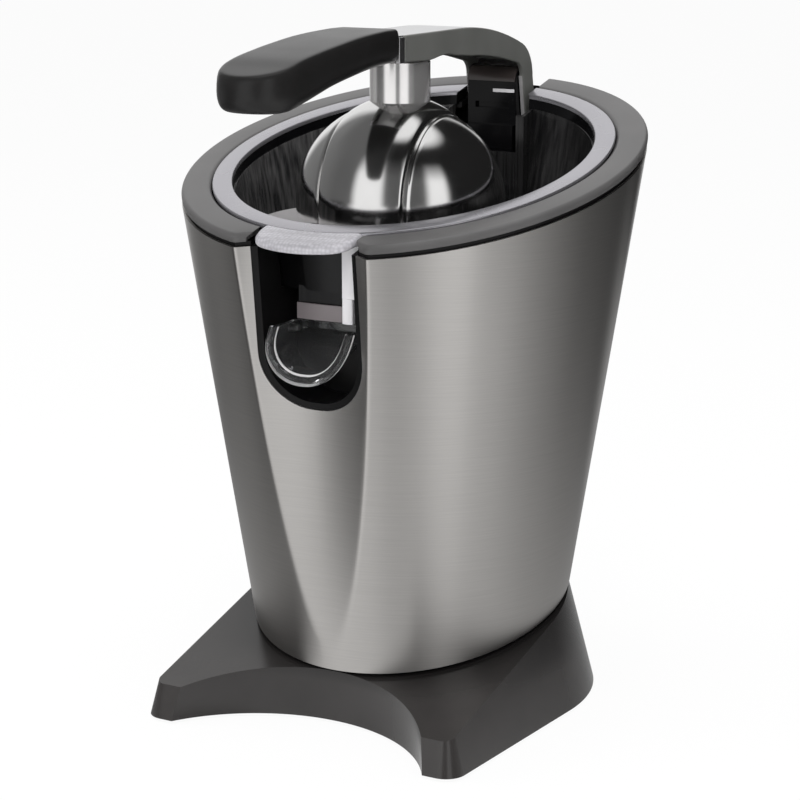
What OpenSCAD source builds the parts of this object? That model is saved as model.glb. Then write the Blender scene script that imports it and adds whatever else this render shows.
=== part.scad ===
// Electric lever citrus juicer: flared steel body on a pedestal, lever press, tip-up spout.
// The front (spout) faces -Y, the lever hinge is at +Y, and the body axis is vertical.

/* [Body] */
// Radius of the steel body where its axis meets the lower edge
body_r = 75; // [72:0.5:78]
// Half angle of the flared body, degrees
body_flare = 8.8; // [8:0.1:9.5]
// Slope of the body's lower and upper edges, degrees, higher at the back
body_tilt = 14.4; // [13:0.1:15.5]
// Height of the lower edge at the body axis
body_bottom = 46; // [44:0.5:48]
// Height of the steel at the body axis
body_h = 203; // [195:0.5:210]
// Thickness of the steel sheet
shell_t = 1.2; // [0.8:0.1:1.6]

/* [Front scoop and notch] */
// Lean of the scoop's axis towards the body, degrees
scoop_lean = 15.7; // [15:0.1:16.5]
// Distance from the body's lower front to the scoop's axis
scoop_reach = 139.5; // [139:0.1:141]
// Radius of the scoop at the body's lower edge
scoop_r = 149; // [148:0.1:149.5]
// Taper of the scoop, degrees
scoop_taper = 20.5; // [20:0.1:21]
// Width of the notch for the spout
notch_w = 54; // [52:0.5:55]
// Depth of the notch below the steel's upper edge at the body axis
notch_h = 97; // [94:0.5:98]
// Radius of the notch's lower corners
notch_corner_r = 25; // [20:0.5:26]
// Wall of the black recess liner
liner_wall = 3; // [2:0.1:3.4]
// Distance from the body axis to the back of the recess
liner_back = 58; // [56:0.5:60]

/* [Rim] */
// Width of the dark top ring
ring_w = 13.5; // [12:0.1:14.5]
// Height of the dark top ring
ring_h = 4; // [3:0.1:5]
// How far the ring stands out past the steel
ring_over = 0.8; // [0.4:0.1:1.2]
// Height of the black seal under the ring
gasket_h = 2; // [1.5:0.1:3]
// Width of the silver bowl rim
rim_w = 9.5; // [8:0.1:10]
// Line between the ring and the bowl rim
rim_gap = 0.5; // [0.3:0.05:0.8]
// Width of the opening at the back for the lever arm
rear_gap_w = 37; // [36:0.5:39]
// Width of the pouring nose at the front
nose_w = 50; // [48:0.5:51]
// How far the pouring nose stands out past the ring
nose_out = 0; // [0:0.1:1.5]
// Radius of the nose's front edge
nose_r = 55; // [48:1:62]
// Thickness of the pouring nose
nose_t = 4; // [3.6:0.1:5]

/* [Bowl and tub] */
// Depth of the bowl below the steel's upper edge at the body axis
bowl_depth = 43; // [41:0.5:44]
// Wall of the bowl
bowl_wall = 2; // [1.5:0.1:2.2]
// Height of the bowl floor above the tub floor
tub_drop = 7; // [6:0.1:8]
// Wall of the tub
tub_wall = 2.5; // [2:0.1:3]
// Distance from the hinge axis to the bowl's flat back panel
panel_ahead = 17; // [16:0.5:18]
// Half width of the pocket behind the bowl's back panel
pocket_half = 21; // [20:0.5:22]
// Distance from the hinge axis down to the back panel's upper edge
panel_below = 33; // [32:0.5:35]

/* [Base] */
// Radius of the round back of the pedestal, at its lower edge
base_r = 90; // [88:0.5:92]
// Inward lean of the pedestal's walls, degrees
base_draft = 14.5; // [13:0.1:16]
// Distance of a toe's centre from the middle plane
toe_x = 72.5; // [70:0.5:74]
// Distance of a toe's centre in front of the body axis
toe_y = 98.5; // [96:0.5:101]
// Radius of a toe
toe_r = 10; // [9:0.5:12]
// Radius of the front arch between the toes
arch_r = 77; // [75:0.5:79]
// Distance from the body axis to the nearest point of the arch
arch_y = 71; // [70:0.5:72]
// Wall of the pedestal
base_wall = 3; // [2.5:0.1:3.5]
// Dark gap between the pedestal and the steel
neck_gap = 2; // [1.5:0.1:3]
// Height of the rubber pads under the pedestal
pad_h = 1.5; // [1:0.1:2.5]
// Radius of a rubber pad
pad_r = 7; // [6:0.5:8]
// Bore of the cord gland
gland_bore = 7; // [6:0.5:8]

/* [Lever] */
// Distance from the back of the steel's upper edge to the hinge axis
hinge_in = 20.8; // [20:0.1:22]
// Height of the hinge axis above the steel's upper edge at the body axis
hinge_rise = 34; // [32:0.5:36]
// Diameter of the hinge pin
pin_d = 6; // [5:0.5:7]
// Width of the lever arm
arm_w = 31.4; // [30:0.2:33]
// Sheet of the lever arm's sides
arm_wall = 2.2; // [1.8:0.1:2.4]
// Height of the arm's flat top above the hinge axis
arm_rise = 30; // [28:0.5:32]
// Depth of the arm at the front
arm_depth = 12.3; // [11:0.1:13]
// Thickness of the silver plate on the arm
plate_t = 1.2; // [0.8:0.1:1.6]
// Distance from the body axis to the joint between arm and grip
grip_joint = 37.3; // [36:0.1:39]
// Length of the grip
grip_len = 107; // [102:0.5:110]
// Width of the grip
grip_w = 37; // [34:0.5:40]
// Height of the grip's crown above the arm's top, at the joint
grip_crown = 3.2; // [2.6:0.1:3.6]
// Droop of the grip's crown from the joint to the tip
grip_droop = 12; // [10:0.5:13]
// Droop of the grip's underside from the joint to the tip
grip_sag = 14.5; // [13:0.5:16]
// Slope of the grip's tip, degrees
grip_tip_turn = 6; // [4:0.5:8]
// Length of the silver collar between the arm and the grip
seam_len = 4.9; // [4:0.1:6]

/* [Press] */
// Distance of the press axis in front of the body axis
press_y = 9; // [8:0.5:10]
// Outer radius of the dome
dome_r = 43.5; // [42:0.5:45]
// Height of the dome
dome_h = 56; // [54:0.5:58]
// Distance from the arm's top down to the dome's top
stem_drop = 29; // [28:0.5:31]
// Width of the raised band over the dome
band_w = 43; // [40:0.5:46]
// Height of the raised band above the dome's cheeks
band_step = 1.2; // [0.8:0.1:1.6]
// Sheet of the dome
dome_t = 1.2; // [0.8:0.1:1.5]
// Thickness of the press cup inside the dome
cup_t = 2; // [1.5:0.1:2.5]
// Diameter of the stem
stem_d = 27.8; // [26:0.2:28.4]
// Radius of the reamer at its foot
reamer_r = 30; // [28:0.5:31]
// Height of the reamer
reamer_h = 40; // [38:0.5:42]
// Number of ribs on the reamer
reamer_ribs = 10; // [8:1:12]
// Radius of the strainer
strainer_r = 54; // [52:0.5:56]

/* [Spout] */
// Width of the clear spout
spout_w = 41; // [39:0.5:42]
// Height of the spout's underside above the notch
spout_lift = 13.5; // [12.5:0.5:14.5]
// Height of the spout
spout_h = 23; // [22:0.5:24]
// Length of the spout
spout_len = 33; // [31:0.5:35]
// Wall of the spout
spout_wall = 2.2; // [1.8:0.1:2.6]
// Diameter of a spout pin
spout_pin_d = 4; // [3:0.5:5]

/* [Drive] */
// Diameter of the drive shaft
shaft_d = 10; // [9:0.5:11]
// Travel of the drive shaft that closes the start switch
press_travel = 2.5; // [2:0.1:3]
// Module of the slow gear pair
slow_module = 1.25; // [1.2:0.01:1.3]
// Module of the fast gear pair
fast_module = 1; // [0.95:0.01:1.05]
// Teeth of the output gear
output_teeth = 56; // [54:1:58]
// Teeth of the idler's small gear
idler_small_teeth = 14; // [13:1:15]
// Teeth of the idler's large gear
idler_large_teeth = 50; // [48:1:52]
// Teeth of the motor pinion
pinion_teeth = 12; // [12:1:14]
// Play between gear flanks
backlash = 0.45; // [0.35:0.05:0.6]
// Direction from the idler to the motor, degrees from +X
motor_angle = -40; // [-50:1:-30]
// Radius of the motor can
motor_r = 26; // [25:0.5:27]
// Length of the motor can
motor_len = 62; // [58:1:66]

/* [Fits] */
// Radial play of shafts and pins in their bores
run_fit = 0.08; // [0.05:0.01:0.1]
// Gap between pieces that are laid together
lay_gap = 0.2; // [0.1:0.05:0.3]
// Gap between the tub and the steel
tub_gap = 0.6; // [0.4:0.05:0.8]
// Gap beside pieces that swing
swing_gap = 0.35; // [0.3:0.05:0.5]

/* [Hidden] */
$fn = 72;
hull_fn = 48;
big = 400;
cut = 1;

slope = tan(body_tilt);
flare = tan(body_flare);
tall = 330;
body_top = body_bottom + body_h;
notch_z = body_top - notch_h;
bowl_floor = body_top - bowl_depth;
tub_floor = bowl_floor - tub_drop;
spout_z = notch_z + spout_lift;
spout_top = spout_z + spout_h;
grip_reach = grip_joint + grip_len;
rim_plane = body_top + gasket_h + ring_h;
rim_inset = ring_w + rim_gap;
bowl_inset = rim_inset + rim_w;
ledge_inset = bowl_inset - bowl_wall - 1;
tub_inset = shell_t + tub_gap;
ledge_t = 2.5;

// Radius of the body's outer cone at a height
function wall_r(z) = body_r + (z - body_bottom) * flare;
// Distance behind the axis, at a given x, of a sloped cut of the cone grown by over
function rear_y(x, plane, over) =
    let (r0 = wall_r(plane) + over, q = flare * slope)
    (r0 * q + sqrt(r0 * r0 * q * q + (1 - q * q) * (r0 * r0 - x * x))) / (1 - q * q);
rear_reach = max(rear_y(rear_gap_w / 2, rim_plane, ring_over), rear_y(0, body_top, 0));
hinge_y = rear_y(0, body_top, 0) - hinge_in;
hinge_z = body_top + hinge_rise;
arm_top = hinge_z + arm_rise;
dome_top = arm_top - stem_drop;
dome_z = dome_top - dome_h;
bowl_back = hinge_y - panel_ahead;
panel_top = hinge_z - panel_below;
// Front of the ring at the middle plane
ring_front = (wall_r(rim_plane) + ring_over) / (1 + flare * slope);
nose_reach = ring_front + nose_out;
frame_y = (grip_reach - rear_reach) / 2;

// Points of an arc about a centre
function arc(c, r, from, to, steps = 12) =
    [for (i = [0:steps]) let (a = from + (to - from) * i / steps) c + r * [cos(a), sin(a)]];
function polar(r, a) = [r * cos(a), r * sin(a)];
// Sites on both sides of the middle plane
function both(sites) = [for (p = sites) for (s = [-1, 1]) [s * p[0], p[1]]];

// Everything between two sloped planes, given by their heights at the axis
module between(z0, z1) {
    intersection() {
        children();
        translate([0, 0, z0]) rotate([body_tilt, 0, 0])
            translate([-big, -big, 0]) cube([2 * big, 2 * big, (z1 - z0) * cos(body_tilt)]);
    }
}
module above(z0) {
    translate([0, 0, z0]) rotate([body_tilt, 0, 0])
        translate([-big, -big, 0]) cube([2 * big, 2 * big, big]);
}
module body_cone(inset) {
    cylinder(h = tall, r1 = wall_r(0) - inset, r2 = wall_r(tall) - inset);
}
// Tapered cutter whose near side is the hollow of the front scoop
scoop_below = 45;
scoop_len = 280;
module scoop(grow) {
    translate([0, -body_r - scoop_reach, body_bottom]) rotate([-scoop_lean, 0, 0])
        translate([0, 0, -scoop_below])
            cylinder(h = scoop_len, r1 = scoop_r + grow + scoop_below * tan(scoop_taper),
                r2 = scoop_r + grow - (scoop_len - scoop_below) * tan(scoop_taper), $fn = 96);
}
module body_form(inset) {
    difference() {
        body_cone(inset);
        scoop(inset);
    }
}
// Upright U with round lower corners, drawn in the XZ plane and pushed along Y
module u_prism(half, low, corner, high, y0, y1) {
    translate([0, y1, 0]) rotate([90, 0, 0]) linear_extrude(y1 - y0) u_shape(half, low, corner, high);
}
module u_shape(half, low, corner, high) {
    intersection() {
        union() {
            translate([-half, low + corner]) square([2 * half, high - low]);
            translate([-half + corner, low]) square([2 * half - 2 * corner, high - low]);
            for (s = [-1, 1]) translate([s * (half - corner), low + corner]) circle(corner);
        }
        translate([-half, low]) square([2 * half, high - low]);
    }
}
module box(x0, x1, y0, y1, z0, z1) {
    translate([x0, y0, z0]) cube([x1 - x0, y1 - y0, z1 - z0]);
}
module at_press(z) {
    translate([0, -press_y, z]) children();
}
// Bar along X about a point of the YZ plane
module cross_bar(y, z, r, x0, x1) {
    translate([x0, y, z]) rotate([0, 90, 0]) cylinder(h = x1 - x0, r = r);
}
module placed() {
    translate([0, frame_y, 0]) children();
}

// Pedestal

base_z = pad_h;
base_top = body_bottom - neck_gap;
base_tall = body_bottom + base_r * slope;
base_open_r = 48;
cover_t = 2.5;
screw_r = 1.6;
screw_play = 0.05;
screw_head_r = 3.2;
screw_head_h = 1.2;
boss_r = 4.5;
boss_h = 9;
boss_in = 10.5;
boss_behind = 30.5;
boss_rear_in = 18.4;
boss_rear_turn = 36;
pad_behind = 6.5;
pad_rear_in = 13.4;
pad_rear_turn = 49;
boss_sites = both([[toe_x - boss_in, boss_behind - toe_y], polar(base_r - boss_rear_in, boss_rear_turn)]);
pad_sites = both([[toe_x, pad_behind - toe_y], polar(base_r - pad_rear_in, pad_rear_turn)]);
pad_stem_r = 3;
gland_z = 18;
gland_flange = 2.5;
gland_lip = 2;
gland_r = gland_bore / 2 + 2.5;

// Round back and two toes with leaning walls, drawn in by inset
module foot_form(inset, lift) {
    lean = tan(base_draft);
    toe_tall = (toe_r - inset) / lean - cut / 2;
    hull() {
        translate([0, 0, lift]) cylinder(h = base_tall, r1 = base_r - inset - lift * lean,
            r2 = base_r - inset - (base_tall + lift) * lean, $fn = 2 * hull_fn);
        for (s = [-1, 1]) translate([s * toe_x, -toe_y, lift])
            cylinder(h = toe_tall - lift, r1 = toe_r - inset - lift * lean,
                r2 = toe_r - inset - toe_tall * lean, $fn = hull_fn);
    }
}
module arch_cut(grow) {
    translate([0, -arch_y - arch_r, -cut]) cylinder(h = big, r = arch_r + grow, $fn = 96);
}
module base_foot() {
    color([0.24, 0.23, 0.23]) difference() {
        union() {
            difference() {
                foot_form(0, base_z);
                above(base_top);
                arch_cut(0);
                difference() {
                    foot_form(base_wall / cos(base_draft), 0);
                    above(base_top - base_wall);
                    arch_cut(base_wall);
                }
            }
            for (p = boss_sites) translate([p[0], p[1], base_z + cover_t])
                cylinder(h = (base_top - base_wall / 2 + slope * p[1]) - base_z - cover_t, r = boss_r);
        }
        for (p = boss_sites) translate([p[0], p[1], base_z])
            cylinder(h = boss_h + cover_t, r = screw_r);
        translate([0, 0, base_z]) cylinder(h = big, r = base_open_r);
        translate([0, 0, gland_z]) rotate([-90, 0, 0]) cylinder(h = big, r = gland_r);
    }
}
module base_cover() {
    edge = base_wall / cos(base_draft) + lay_gap;
    slot_w = 3;
    slot_l = 30;
    color([0.16, 0.16, 0.17]) difference() {
        intersection() {
            foot_form(edge + (base_z + cover_t) * tan(base_draft), 0);
            box(-big, big, -big, big, base_z, base_z + cover_t);
        }
        arch_cut(base_wall + lay_gap);
        for (p = boss_sites) translate([p[0], p[1], 0]) {
            cylinder(h = big, r = screw_r);
            cylinder(h = base_z + screw_head_h, r = screw_head_r);
        }
        for (p = pad_sites) translate([p[0], p[1], 0]) cylinder(h = big, r = pad_stem_r);
        for (i = [-3:3]) translate([i * 3 * slot_w - slot_w / 2, -slot_l / 2, 0]) cube([slot_w, slot_l, big]);
    }
}
module foot_pads() {
    color([0.1, 0.1, 0.1]) for (p = pad_sites) translate([p[0], p[1], 0]) {
        cylinder(h = pad_h, r = pad_r);
        cylinder(h = pad_h + cover_t, r = pad_stem_r - screw_play);
    }
}
module base_screws() {
    color("silver") for (p = boss_sites) translate([p[0], p[1], base_z])
        pan_screw(screw_head_h + boss_h);
}
// Screw with its head at the bottom
module pan_screw(length) {
    cylinder(h = screw_head_h, r = screw_head_r - screw_play);
    cylinder(h = length, r = screw_r - screw_play);
}
// Cord bush in the back wall, level and square to the machine's width
gland_wall_y = base_r - gland_z * tan(base_draft);
gland_seat = (gland_r + gland_lip) * tan(base_draft) + lay_gap;
module cord_gland() {
    inner_y = gland_wall_y - base_wall - gland_seat - gland_flange;
    outer_y = gland_wall_y + gland_seat;
    color([0.1, 0.1, 0.1]) difference() {
        union() {
            along_y(inner_y, outer_y + gland_flange, gland_r - screw_play);
            along_y(outer_y, outer_y + gland_flange, gland_r + gland_lip);
            along_y(inner_y, inner_y + gland_flange, gland_r + gland_lip);
        }
        along_y(inner_y - cut, outer_y + gland_flange + cut, gland_bore / 2);
    }
}
module along_y(y0, y1, r) {
    translate([0, y0, gland_z]) rotate([-90, 0, 0]) cylinder(h = y1 - y0, r = r);
}
module terminal_block() {
    block = [30, 12, 10];
    block_y = gland_wall_y - 33;
    pitch = 9;
    hole_r = 1.8;
    color([0.85, 0.83, 0.78]) difference() {
        translate([-block[0] / 2, block_y, base_z + cover_t]) cube(block);
        for (i = [-1:1]) translate([i * pitch, block_y - cut, base_z + cover_t + block[2] / 2])
            rotate([-90, 0, 0]) cylinder(h = block[1] + 2 * cut, r = hole_r);
    }
}

// Steel body and its black fittings

collar_h = 10;
collar_w = 4;
shadow_inset = 3;
module neck_collar() {
    color([0.07, 0.07, 0.07]) difference() {
        union() {
            between(base_top, body_bottom) body_cone(shadow_inset);
            between(body_bottom, body_bottom + collar_h) body_cone(tub_inset);
        }
        body_cone(tub_inset + collar_w);
    }
}
module steel_shell() {
    color([0.64, 0.62, 0.6]) difference() {
        between(body_bottom, body_top) body_form(0);
        body_form(shell_t);
        u_prism(notch_w / 2, notch_z, notch_corner_r, tall, -big, 0);
    }
}

liner_half = notch_w / 2 - lay_gap;
liner_low = notch_z + lay_gap;
liner_proud = 0.8;
bowl_play = 0.5;
module recess_liner() {
    color([0.06, 0.06, 0.06]) difference() {
        intersection() {
            u_prism(liner_half, liner_low, notch_corner_r, tall, -big, -liner_back);
            body_form(-liner_proud);
        }
        u_prism(liner_half - liner_wall, liner_low + liner_wall, notch_corner_r - liner_wall, tall,
            -big, -liner_back - liner_wall);
        above(body_top - lay_gap);
        intersection() {
            body_cone(bowl_inset - bowl_wall - bowl_play);
            box(-big, big, -big, 0, bowl_floor - bowl_wall - bowl_play, tall);
        }
        cross_bar(spout_pin_y, spout_pin_z, spout_pin_d / 2, -liner_half - cut, liner_half + cut);
    }
}
// Openings of the rim at the front and at the back
module rim_openings() {
    box(-nose_w / 2 - rim_gap, nose_w / 2 + rim_gap, -big, 0, 0, tall);
    box(-rear_gap_w / 2, rear_gap_w / 2, 0, big, 0, tall);
}
gasket_inset = 0.8;
module ring_gasket() {
    color([0.05, 0.05, 0.05]) difference() {
        between(body_top, body_top + gasket_h) body_form(gasket_inset);
        body_cone(ring_w);
        rim_openings();
    }
}
module top_ring() {
    color([0.42, 0.42, 0.42]) difference() {
        between(body_top + gasket_h, rim_plane) body_form(-ring_over);
        body_cone(ring_w);
        rim_openings();
    }
}

// Tub that carries the bowl, the hinge tower and the drive

leg_back = hinge_y + 10.5;
leg_room = 2;
bush_r = 9;
module inner_tub() {
    color([0.08, 0.08, 0.08]) difference() {
        union() {
            difference() {
                intersection() {
                    body_form(tub_inset);
                    box(-big, big, -big, big, tub_floor - tub_wall, tall);
                }
                intersection() {
                    body_form(tub_inset + tub_wall);
                    box(-big, big, -big, big, tub_floor, tall);
                }
                above(body_top);
            }
            difference() {
                between(body_top - ledge_t, body_top) body_form(tub_inset);
                body_cone(ledge_inset);
            }
        }
        box(-notch_w / 2 - lay_gap, notch_w / 2 + lay_gap, -big, -liner_back + lay_gap, 0, tall);
        box(-rear_gap_w / 2, rear_gap_w / 2, bowl_back, leg_back + leg_room, panel_top - leg_room, tall);
        at_press(0) cylinder(h = tall, r = bush_r);
        for (p = tower_sites) translate([p[0], p[1], 0]) cylinder(h = tall, r = screw_r);
        for (p = case_sites) translate([p[0], p[1], 0]) cylinder(h = tall, r = screw_r);
    }
}

// Juice bowl with its drain, pocket for the lever and tube round the shaft

chute_half = 13;
chute_y = liner_back + 14.5;
chute_len = 10;
chute_low = spout_top + 2.5;
hub_r = bush_r + 0.4;
hub_wall = 2;
hub_top = bowl_floor + 13;
module bowl_solid(inset, low, grow) {
    difference() {
        intersection() {
            body_cone(inset);
            box(-big, big, -big, big, low, tall);
        }
        box(-pocket_half - grow, pocket_half + grow, bowl_back + bowl_wall - grow, big, 0, tall);
    }
}
module juice_bowl() {
    chute_front = -chute_y - chute_len / 2;
    chute_back = -chute_y + chute_len / 2;
    color([0.2, 0.2, 0.21]) difference() {
        union() {
            difference() {
                bowl_solid(bowl_inset - bowl_wall, bowl_floor - bowl_wall, 0);
                bowl_solid(bowl_inset, bowl_floor, bowl_wall);
                above(body_top);
            }
            at_press(bowl_floor - bowl_wall)
                cylinder(h = hub_top - bowl_floor + bowl_wall, r = hub_r + hub_wall);
            box(-chute_half, chute_half, chute_front, chute_back, chute_low, bowl_floor);
        }
        at_press(0) cylinder(h = tall, r = hub_r);
        box(-chute_half + bowl_wall, chute_half - bowl_wall, chute_front + bowl_wall, chute_back - bowl_wall,
            0, bowl_floor + cut);
        box(-rear_gap_w / 2, rear_gap_w / 2, bowl_back - cut, big, panel_top, tall);
    }
}
rim_proud = 0.3;
module bowl_rim() {
    color([0.73, 0.72, 0.75]) difference() {
        union() {
            between(body_top, rim_plane + rim_proud) body_cone(rim_inset);
            between(rim_plane - nose_t, rim_plane) intersection() {
                translate([0, nose_r - nose_reach, 0]) cylinder(h = tall, r = nose_r);
                box(-nose_w / 2, nose_w / 2, -big, 0, 0, tall);
            }
        }
        body_cone(bowl_inset);
        box(-rear_gap_w / 2, rear_gap_w / 2, 0, big, 0, tall);
    }
}

strainer_t = 1;
strainer_h = 10;
strainer_hole_r = 34;
strainer_slots = 40;
module strainer() {
    slot_w = 1.6;
    slot_r0 = strainer_hole_r + 3;
    slot_r1 = strainer_r - 4;
    color([0.75, 0.75, 0.76]) at_press(bowl_floor) difference() {
        rotate_extrude() {
            translate([strainer_r - strainer_t, 0]) square([strainer_t, strainer_h]);
            translate([strainer_hole_r, strainer_h - strainer_t])
                square([strainer_r - strainer_hole_r, strainer_t]);
            translate([strainer_hole_r, 0]) square([strainer_t, strainer_h + 2]);
        }
        for (i = [1:strainer_slots]) rotate(i * 360 / strainer_slots)
            translate([slot_r0, -slot_w / 2, strainer_h / 2]) cube([slot_r1 - slot_r0, slot_w, strainer_h]);
    }
}

// Clear spout that tips up to stop the drip

spout_back = liner_back + 7;
spout_reach = spout_back + spout_len;
spout_pin_y = -spout_back - 4;
spout_pin_z = spout_top - 4.5;
spout_corner = spout_w / 2 - 1;
lip_len = 2.6;
lip_out = 0.9;
module drip_spout() {
    half = spout_w / 2;
    color([0.9, 0.92, 0.94, 0.6]) difference() {
        union() {
            u_prism(half, spout_z, spout_corner, spout_top, -spout_reach, -spout_back);
            u_prism(half + lip_out, spout_z - lip_out, spout_corner + lip_out, spout_top,
                -spout_reach, -spout_reach + lip_len);
        }
        u_prism(half - spout_wall, spout_z + spout_wall, spout_corner - spout_wall, spout_top + cut,
            -spout_reach - cut, -spout_back - spout_wall);
        cross_bar(spout_pin_y, spout_pin_z, spout_pin_d / 2 + run_fit, -half - cut, half + cut);
    }
}
module spout_pins() {
    inner = spout_w / 2 - spout_wall;
    color("silver") for (s = [0, 1]) mirror([s, 0, 0])
        cross_bar(spout_pin_y, spout_pin_z, spout_pin_d / 2 - screw_play, inner, liner_half - cut);
}

// Hinge tower

arm_half = arm_w / 2;
arm_in = arm_half - arm_wall;
tower_half = arm_in - swing_gap;
tower_r = 6.5;
tower_step = hinge_z - 21;
tower_ahead = 10;
tower_behind = 9;
tower_screw_x = 8;
tower_sites = both([[tower_screw_x, hinge_y - 6.5], [tower_screw_x, hinge_y + 1]]);
tower_screw_len = 14;
module hinge_tower() {
    slot = [18, 3, 3];
    slot_up = 8;
    color([0.04, 0.04, 0.045]) difference() {
        union() {
            box(-tower_half, tower_half, hinge_y - tower_r, hinge_y + tower_r, tower_step - cut, hinge_z);
            cross_bar(hinge_y, hinge_z, tower_r, -tower_half, tower_half);
            intersection() {
                box(-tower_half, tower_half, hinge_y - tower_ahead, hinge_y + tower_behind,
                    tub_floor, tower_step);
                body_cone(tub_inset + tub_wall + lay_gap);
            }
        }
        cross_bar(hinge_y, hinge_z, pin_d / 2, -tower_half - cut, tower_half + cut);
        translate([-slot[0] / 2, hinge_y - tower_r - cut, tower_step + slot_up]) cube(slot);
        for (p = tower_sites) translate([p[0], p[1], 0])
            cylinder(h = tub_floor + tower_screw_len, r = screw_r);
    }
}
module tower_screws() {
    color("silver") for (p = tower_sites)
        translate([p[0], p[1], tub_floor - tub_wall - screw_head_h]) pan_screw(tower_screw_len);
}
module hinge_pin() {
    reach = arm_half - lay_gap;
    color("silver") cross_bar(hinge_y, hinge_z, pin_d / 2 - screw_play / 2, -reach, reach);
}

// Lever: bent channel arm, silver top plate, grip, stem and press dome

arm_bend_y = 22;
arm_bend_r = 190;
arm_bend_ahead = 4.5;
arm_corner_r = 18;
web_t = 2.2;
plate_edge = 1;
plate_end = 20;
arm_turn = asin((hinge_y - arm_bend_ahead - arm_bend_y) / arm_bend_r);
arm_bend_c = [arm_bend_y, arm_top - arm_bend_r];
arm_corner_c = arm_bend_c + (arm_bend_r - arm_corner_r) * [sin(arm_turn), cos(arm_turn)];
arm_rear = arm_corner_c[0] + arm_corner_r;
arm_low = arm_top - arm_depth;
leg_low = hinge_z - 28;
inner_corner_r = 7;
inner_corner_c = [hinge_y - 11, hinge_z + 3];
arm_knee_y = 60;
arm_knee_drop = 3.7;

// Line along the arm's top and round its rear corner, sunk by depth
function arm_line(depth, last) = concat(
    [[-grip_joint, arm_top - depth]],
    arc(arm_bend_c, arm_bend_r - depth, 90, 90 - arm_turn, 8),
    arc(arm_corner_c, arm_corner_r - depth, 90 - arm_turn, last, 10));
function reversed(list) = [for (i = [len(list) - 1:-1:0]) list[i]];

// Side view, drawn in the YZ plane, as a slab across the arm
module side_slab(half, points) {
    translate([-half, 0, 0]) rotate([90, 0, 90]) linear_extrude(2 * half) polygon(points);
}
module lever_arm() {
    side = concat(arm_line(0, 0),
        [[arm_rear + 3.5, hinge_z - 14], [leg_back, leg_low], [hinge_y + 1.3, leg_low]],
        arc(inner_corner_c, inner_corner_r, 0, 75, 6),
        [[arm_knee_y, arm_low - arm_knee_drop], [-grip_joint, arm_low]]);
    inside = concat(arm_line(plate_t + web_t, plate_end),
        [[leg_back + 20, arm_corner_c[1] + arm_corner_r * sin(plate_end)], [leg_back + 20, leg_low - cut],
        [-grip_joint - cut, leg_low - cut], [-grip_joint - cut, arm_top - plate_t - web_t]]);
    color([0.32, 0.33, 0.31]) difference() {
        side_slab(arm_half, side);
        side_slab(arm_in, inside);
        side_slab(arm_half - plate_edge, plate_outline(lay_gap / 2));
        seam_sides(lay_gap / 2);
        cross_bar(hinge_y, hinge_z, pin_d / 2 + run_fit, -arm_half - cut, arm_half + cut);
    }
}
// Both sides of the silver collar at the front of the arm
module seam_sides(gap) {
    seam_low = arm_low - arm_knee_drop * seam_len / (arm_knee_y + grip_joint);
    for (s = [0, 1]) mirror([s, 0, 0]) box(arm_in - gap, arm_half + gap, -grip_joint - gap,
        -grip_joint + seam_len + gap, seam_low, arm_top + gap);
}
function plate_outline(gap) = concat(arm_line(-gap, plate_end), reversed(arm_line(plate_t + gap, plate_end)));
module arm_top_plate() {
    color([0.86, 0.86, 0.87]) {
        side_slab(arm_half - plate_edge - lay_gap / 2, plate_outline(-lay_gap / 4));
        seam_sides(-lay_gap / 4);
    }
}
stem_neck_r = 11;
tang_w = 18;
tang_t = 4;
tang_z = arm_top - 10.5;
tang_in = grip_joint - press_y - stem_neck_r - lay_gap;
tang_out = 30;
tang_screw_y = [5 - grip_joint, 12 - grip_joint];
module tang_form(gap) {
    box(-tang_w / 2 - gap, tang_w / 2 + gap, -grip_joint - tang_out - gap, -grip_joint + tang_in,
        tang_z - gap, tang_z + tang_t + gap);
}
module handle_tang() {
    color("silver") difference() {
        union() {
            tang_form(0);
            box(-tang_w / 2, tang_w / 2, -grip_joint + 3, -grip_joint + tang_in, tang_z,
                arm_top - plate_t - web_t - lay_gap);
        }
        for (y = tang_screw_y) translate([0, y, tang_z - cut]) cylinder(h = 9, r = screw_r);
    }
}
module handle_screws() {
    color("silver") for (y = tang_screw_y) translate([0, y, tang_z - screw_head_h])
        pan_screw(screw_head_h + 7);
}
// Crowned paddle that droops from the joint, built from slices; its tip is round in plan
grip_edge_r = 5;
grip_low_edge = 3;
grip_shoulder = 2;
grip_full_at = 0.5;
grip_tip_at = 1 - grip_w / 2 / grip_len;
grip_slices = 6;
// Half width, height of the crown, drop of the shoulders and underside, at a share of the grip's length
function grip_half(t) = arm_half + (grip_w / 2 - arm_half) * sin(90 * min(t / grip_full_at, 1));
function grip_top(t) = arm_top + grip_crown - grip_droop * pow(t, 1.8);
function grip_drop(t) = grip_crown + grip_shoulder * min(t / grip_full_at, 1);
function grip_low(t) = arm_low - grip_sag * pow(t, 1.6);
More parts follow.
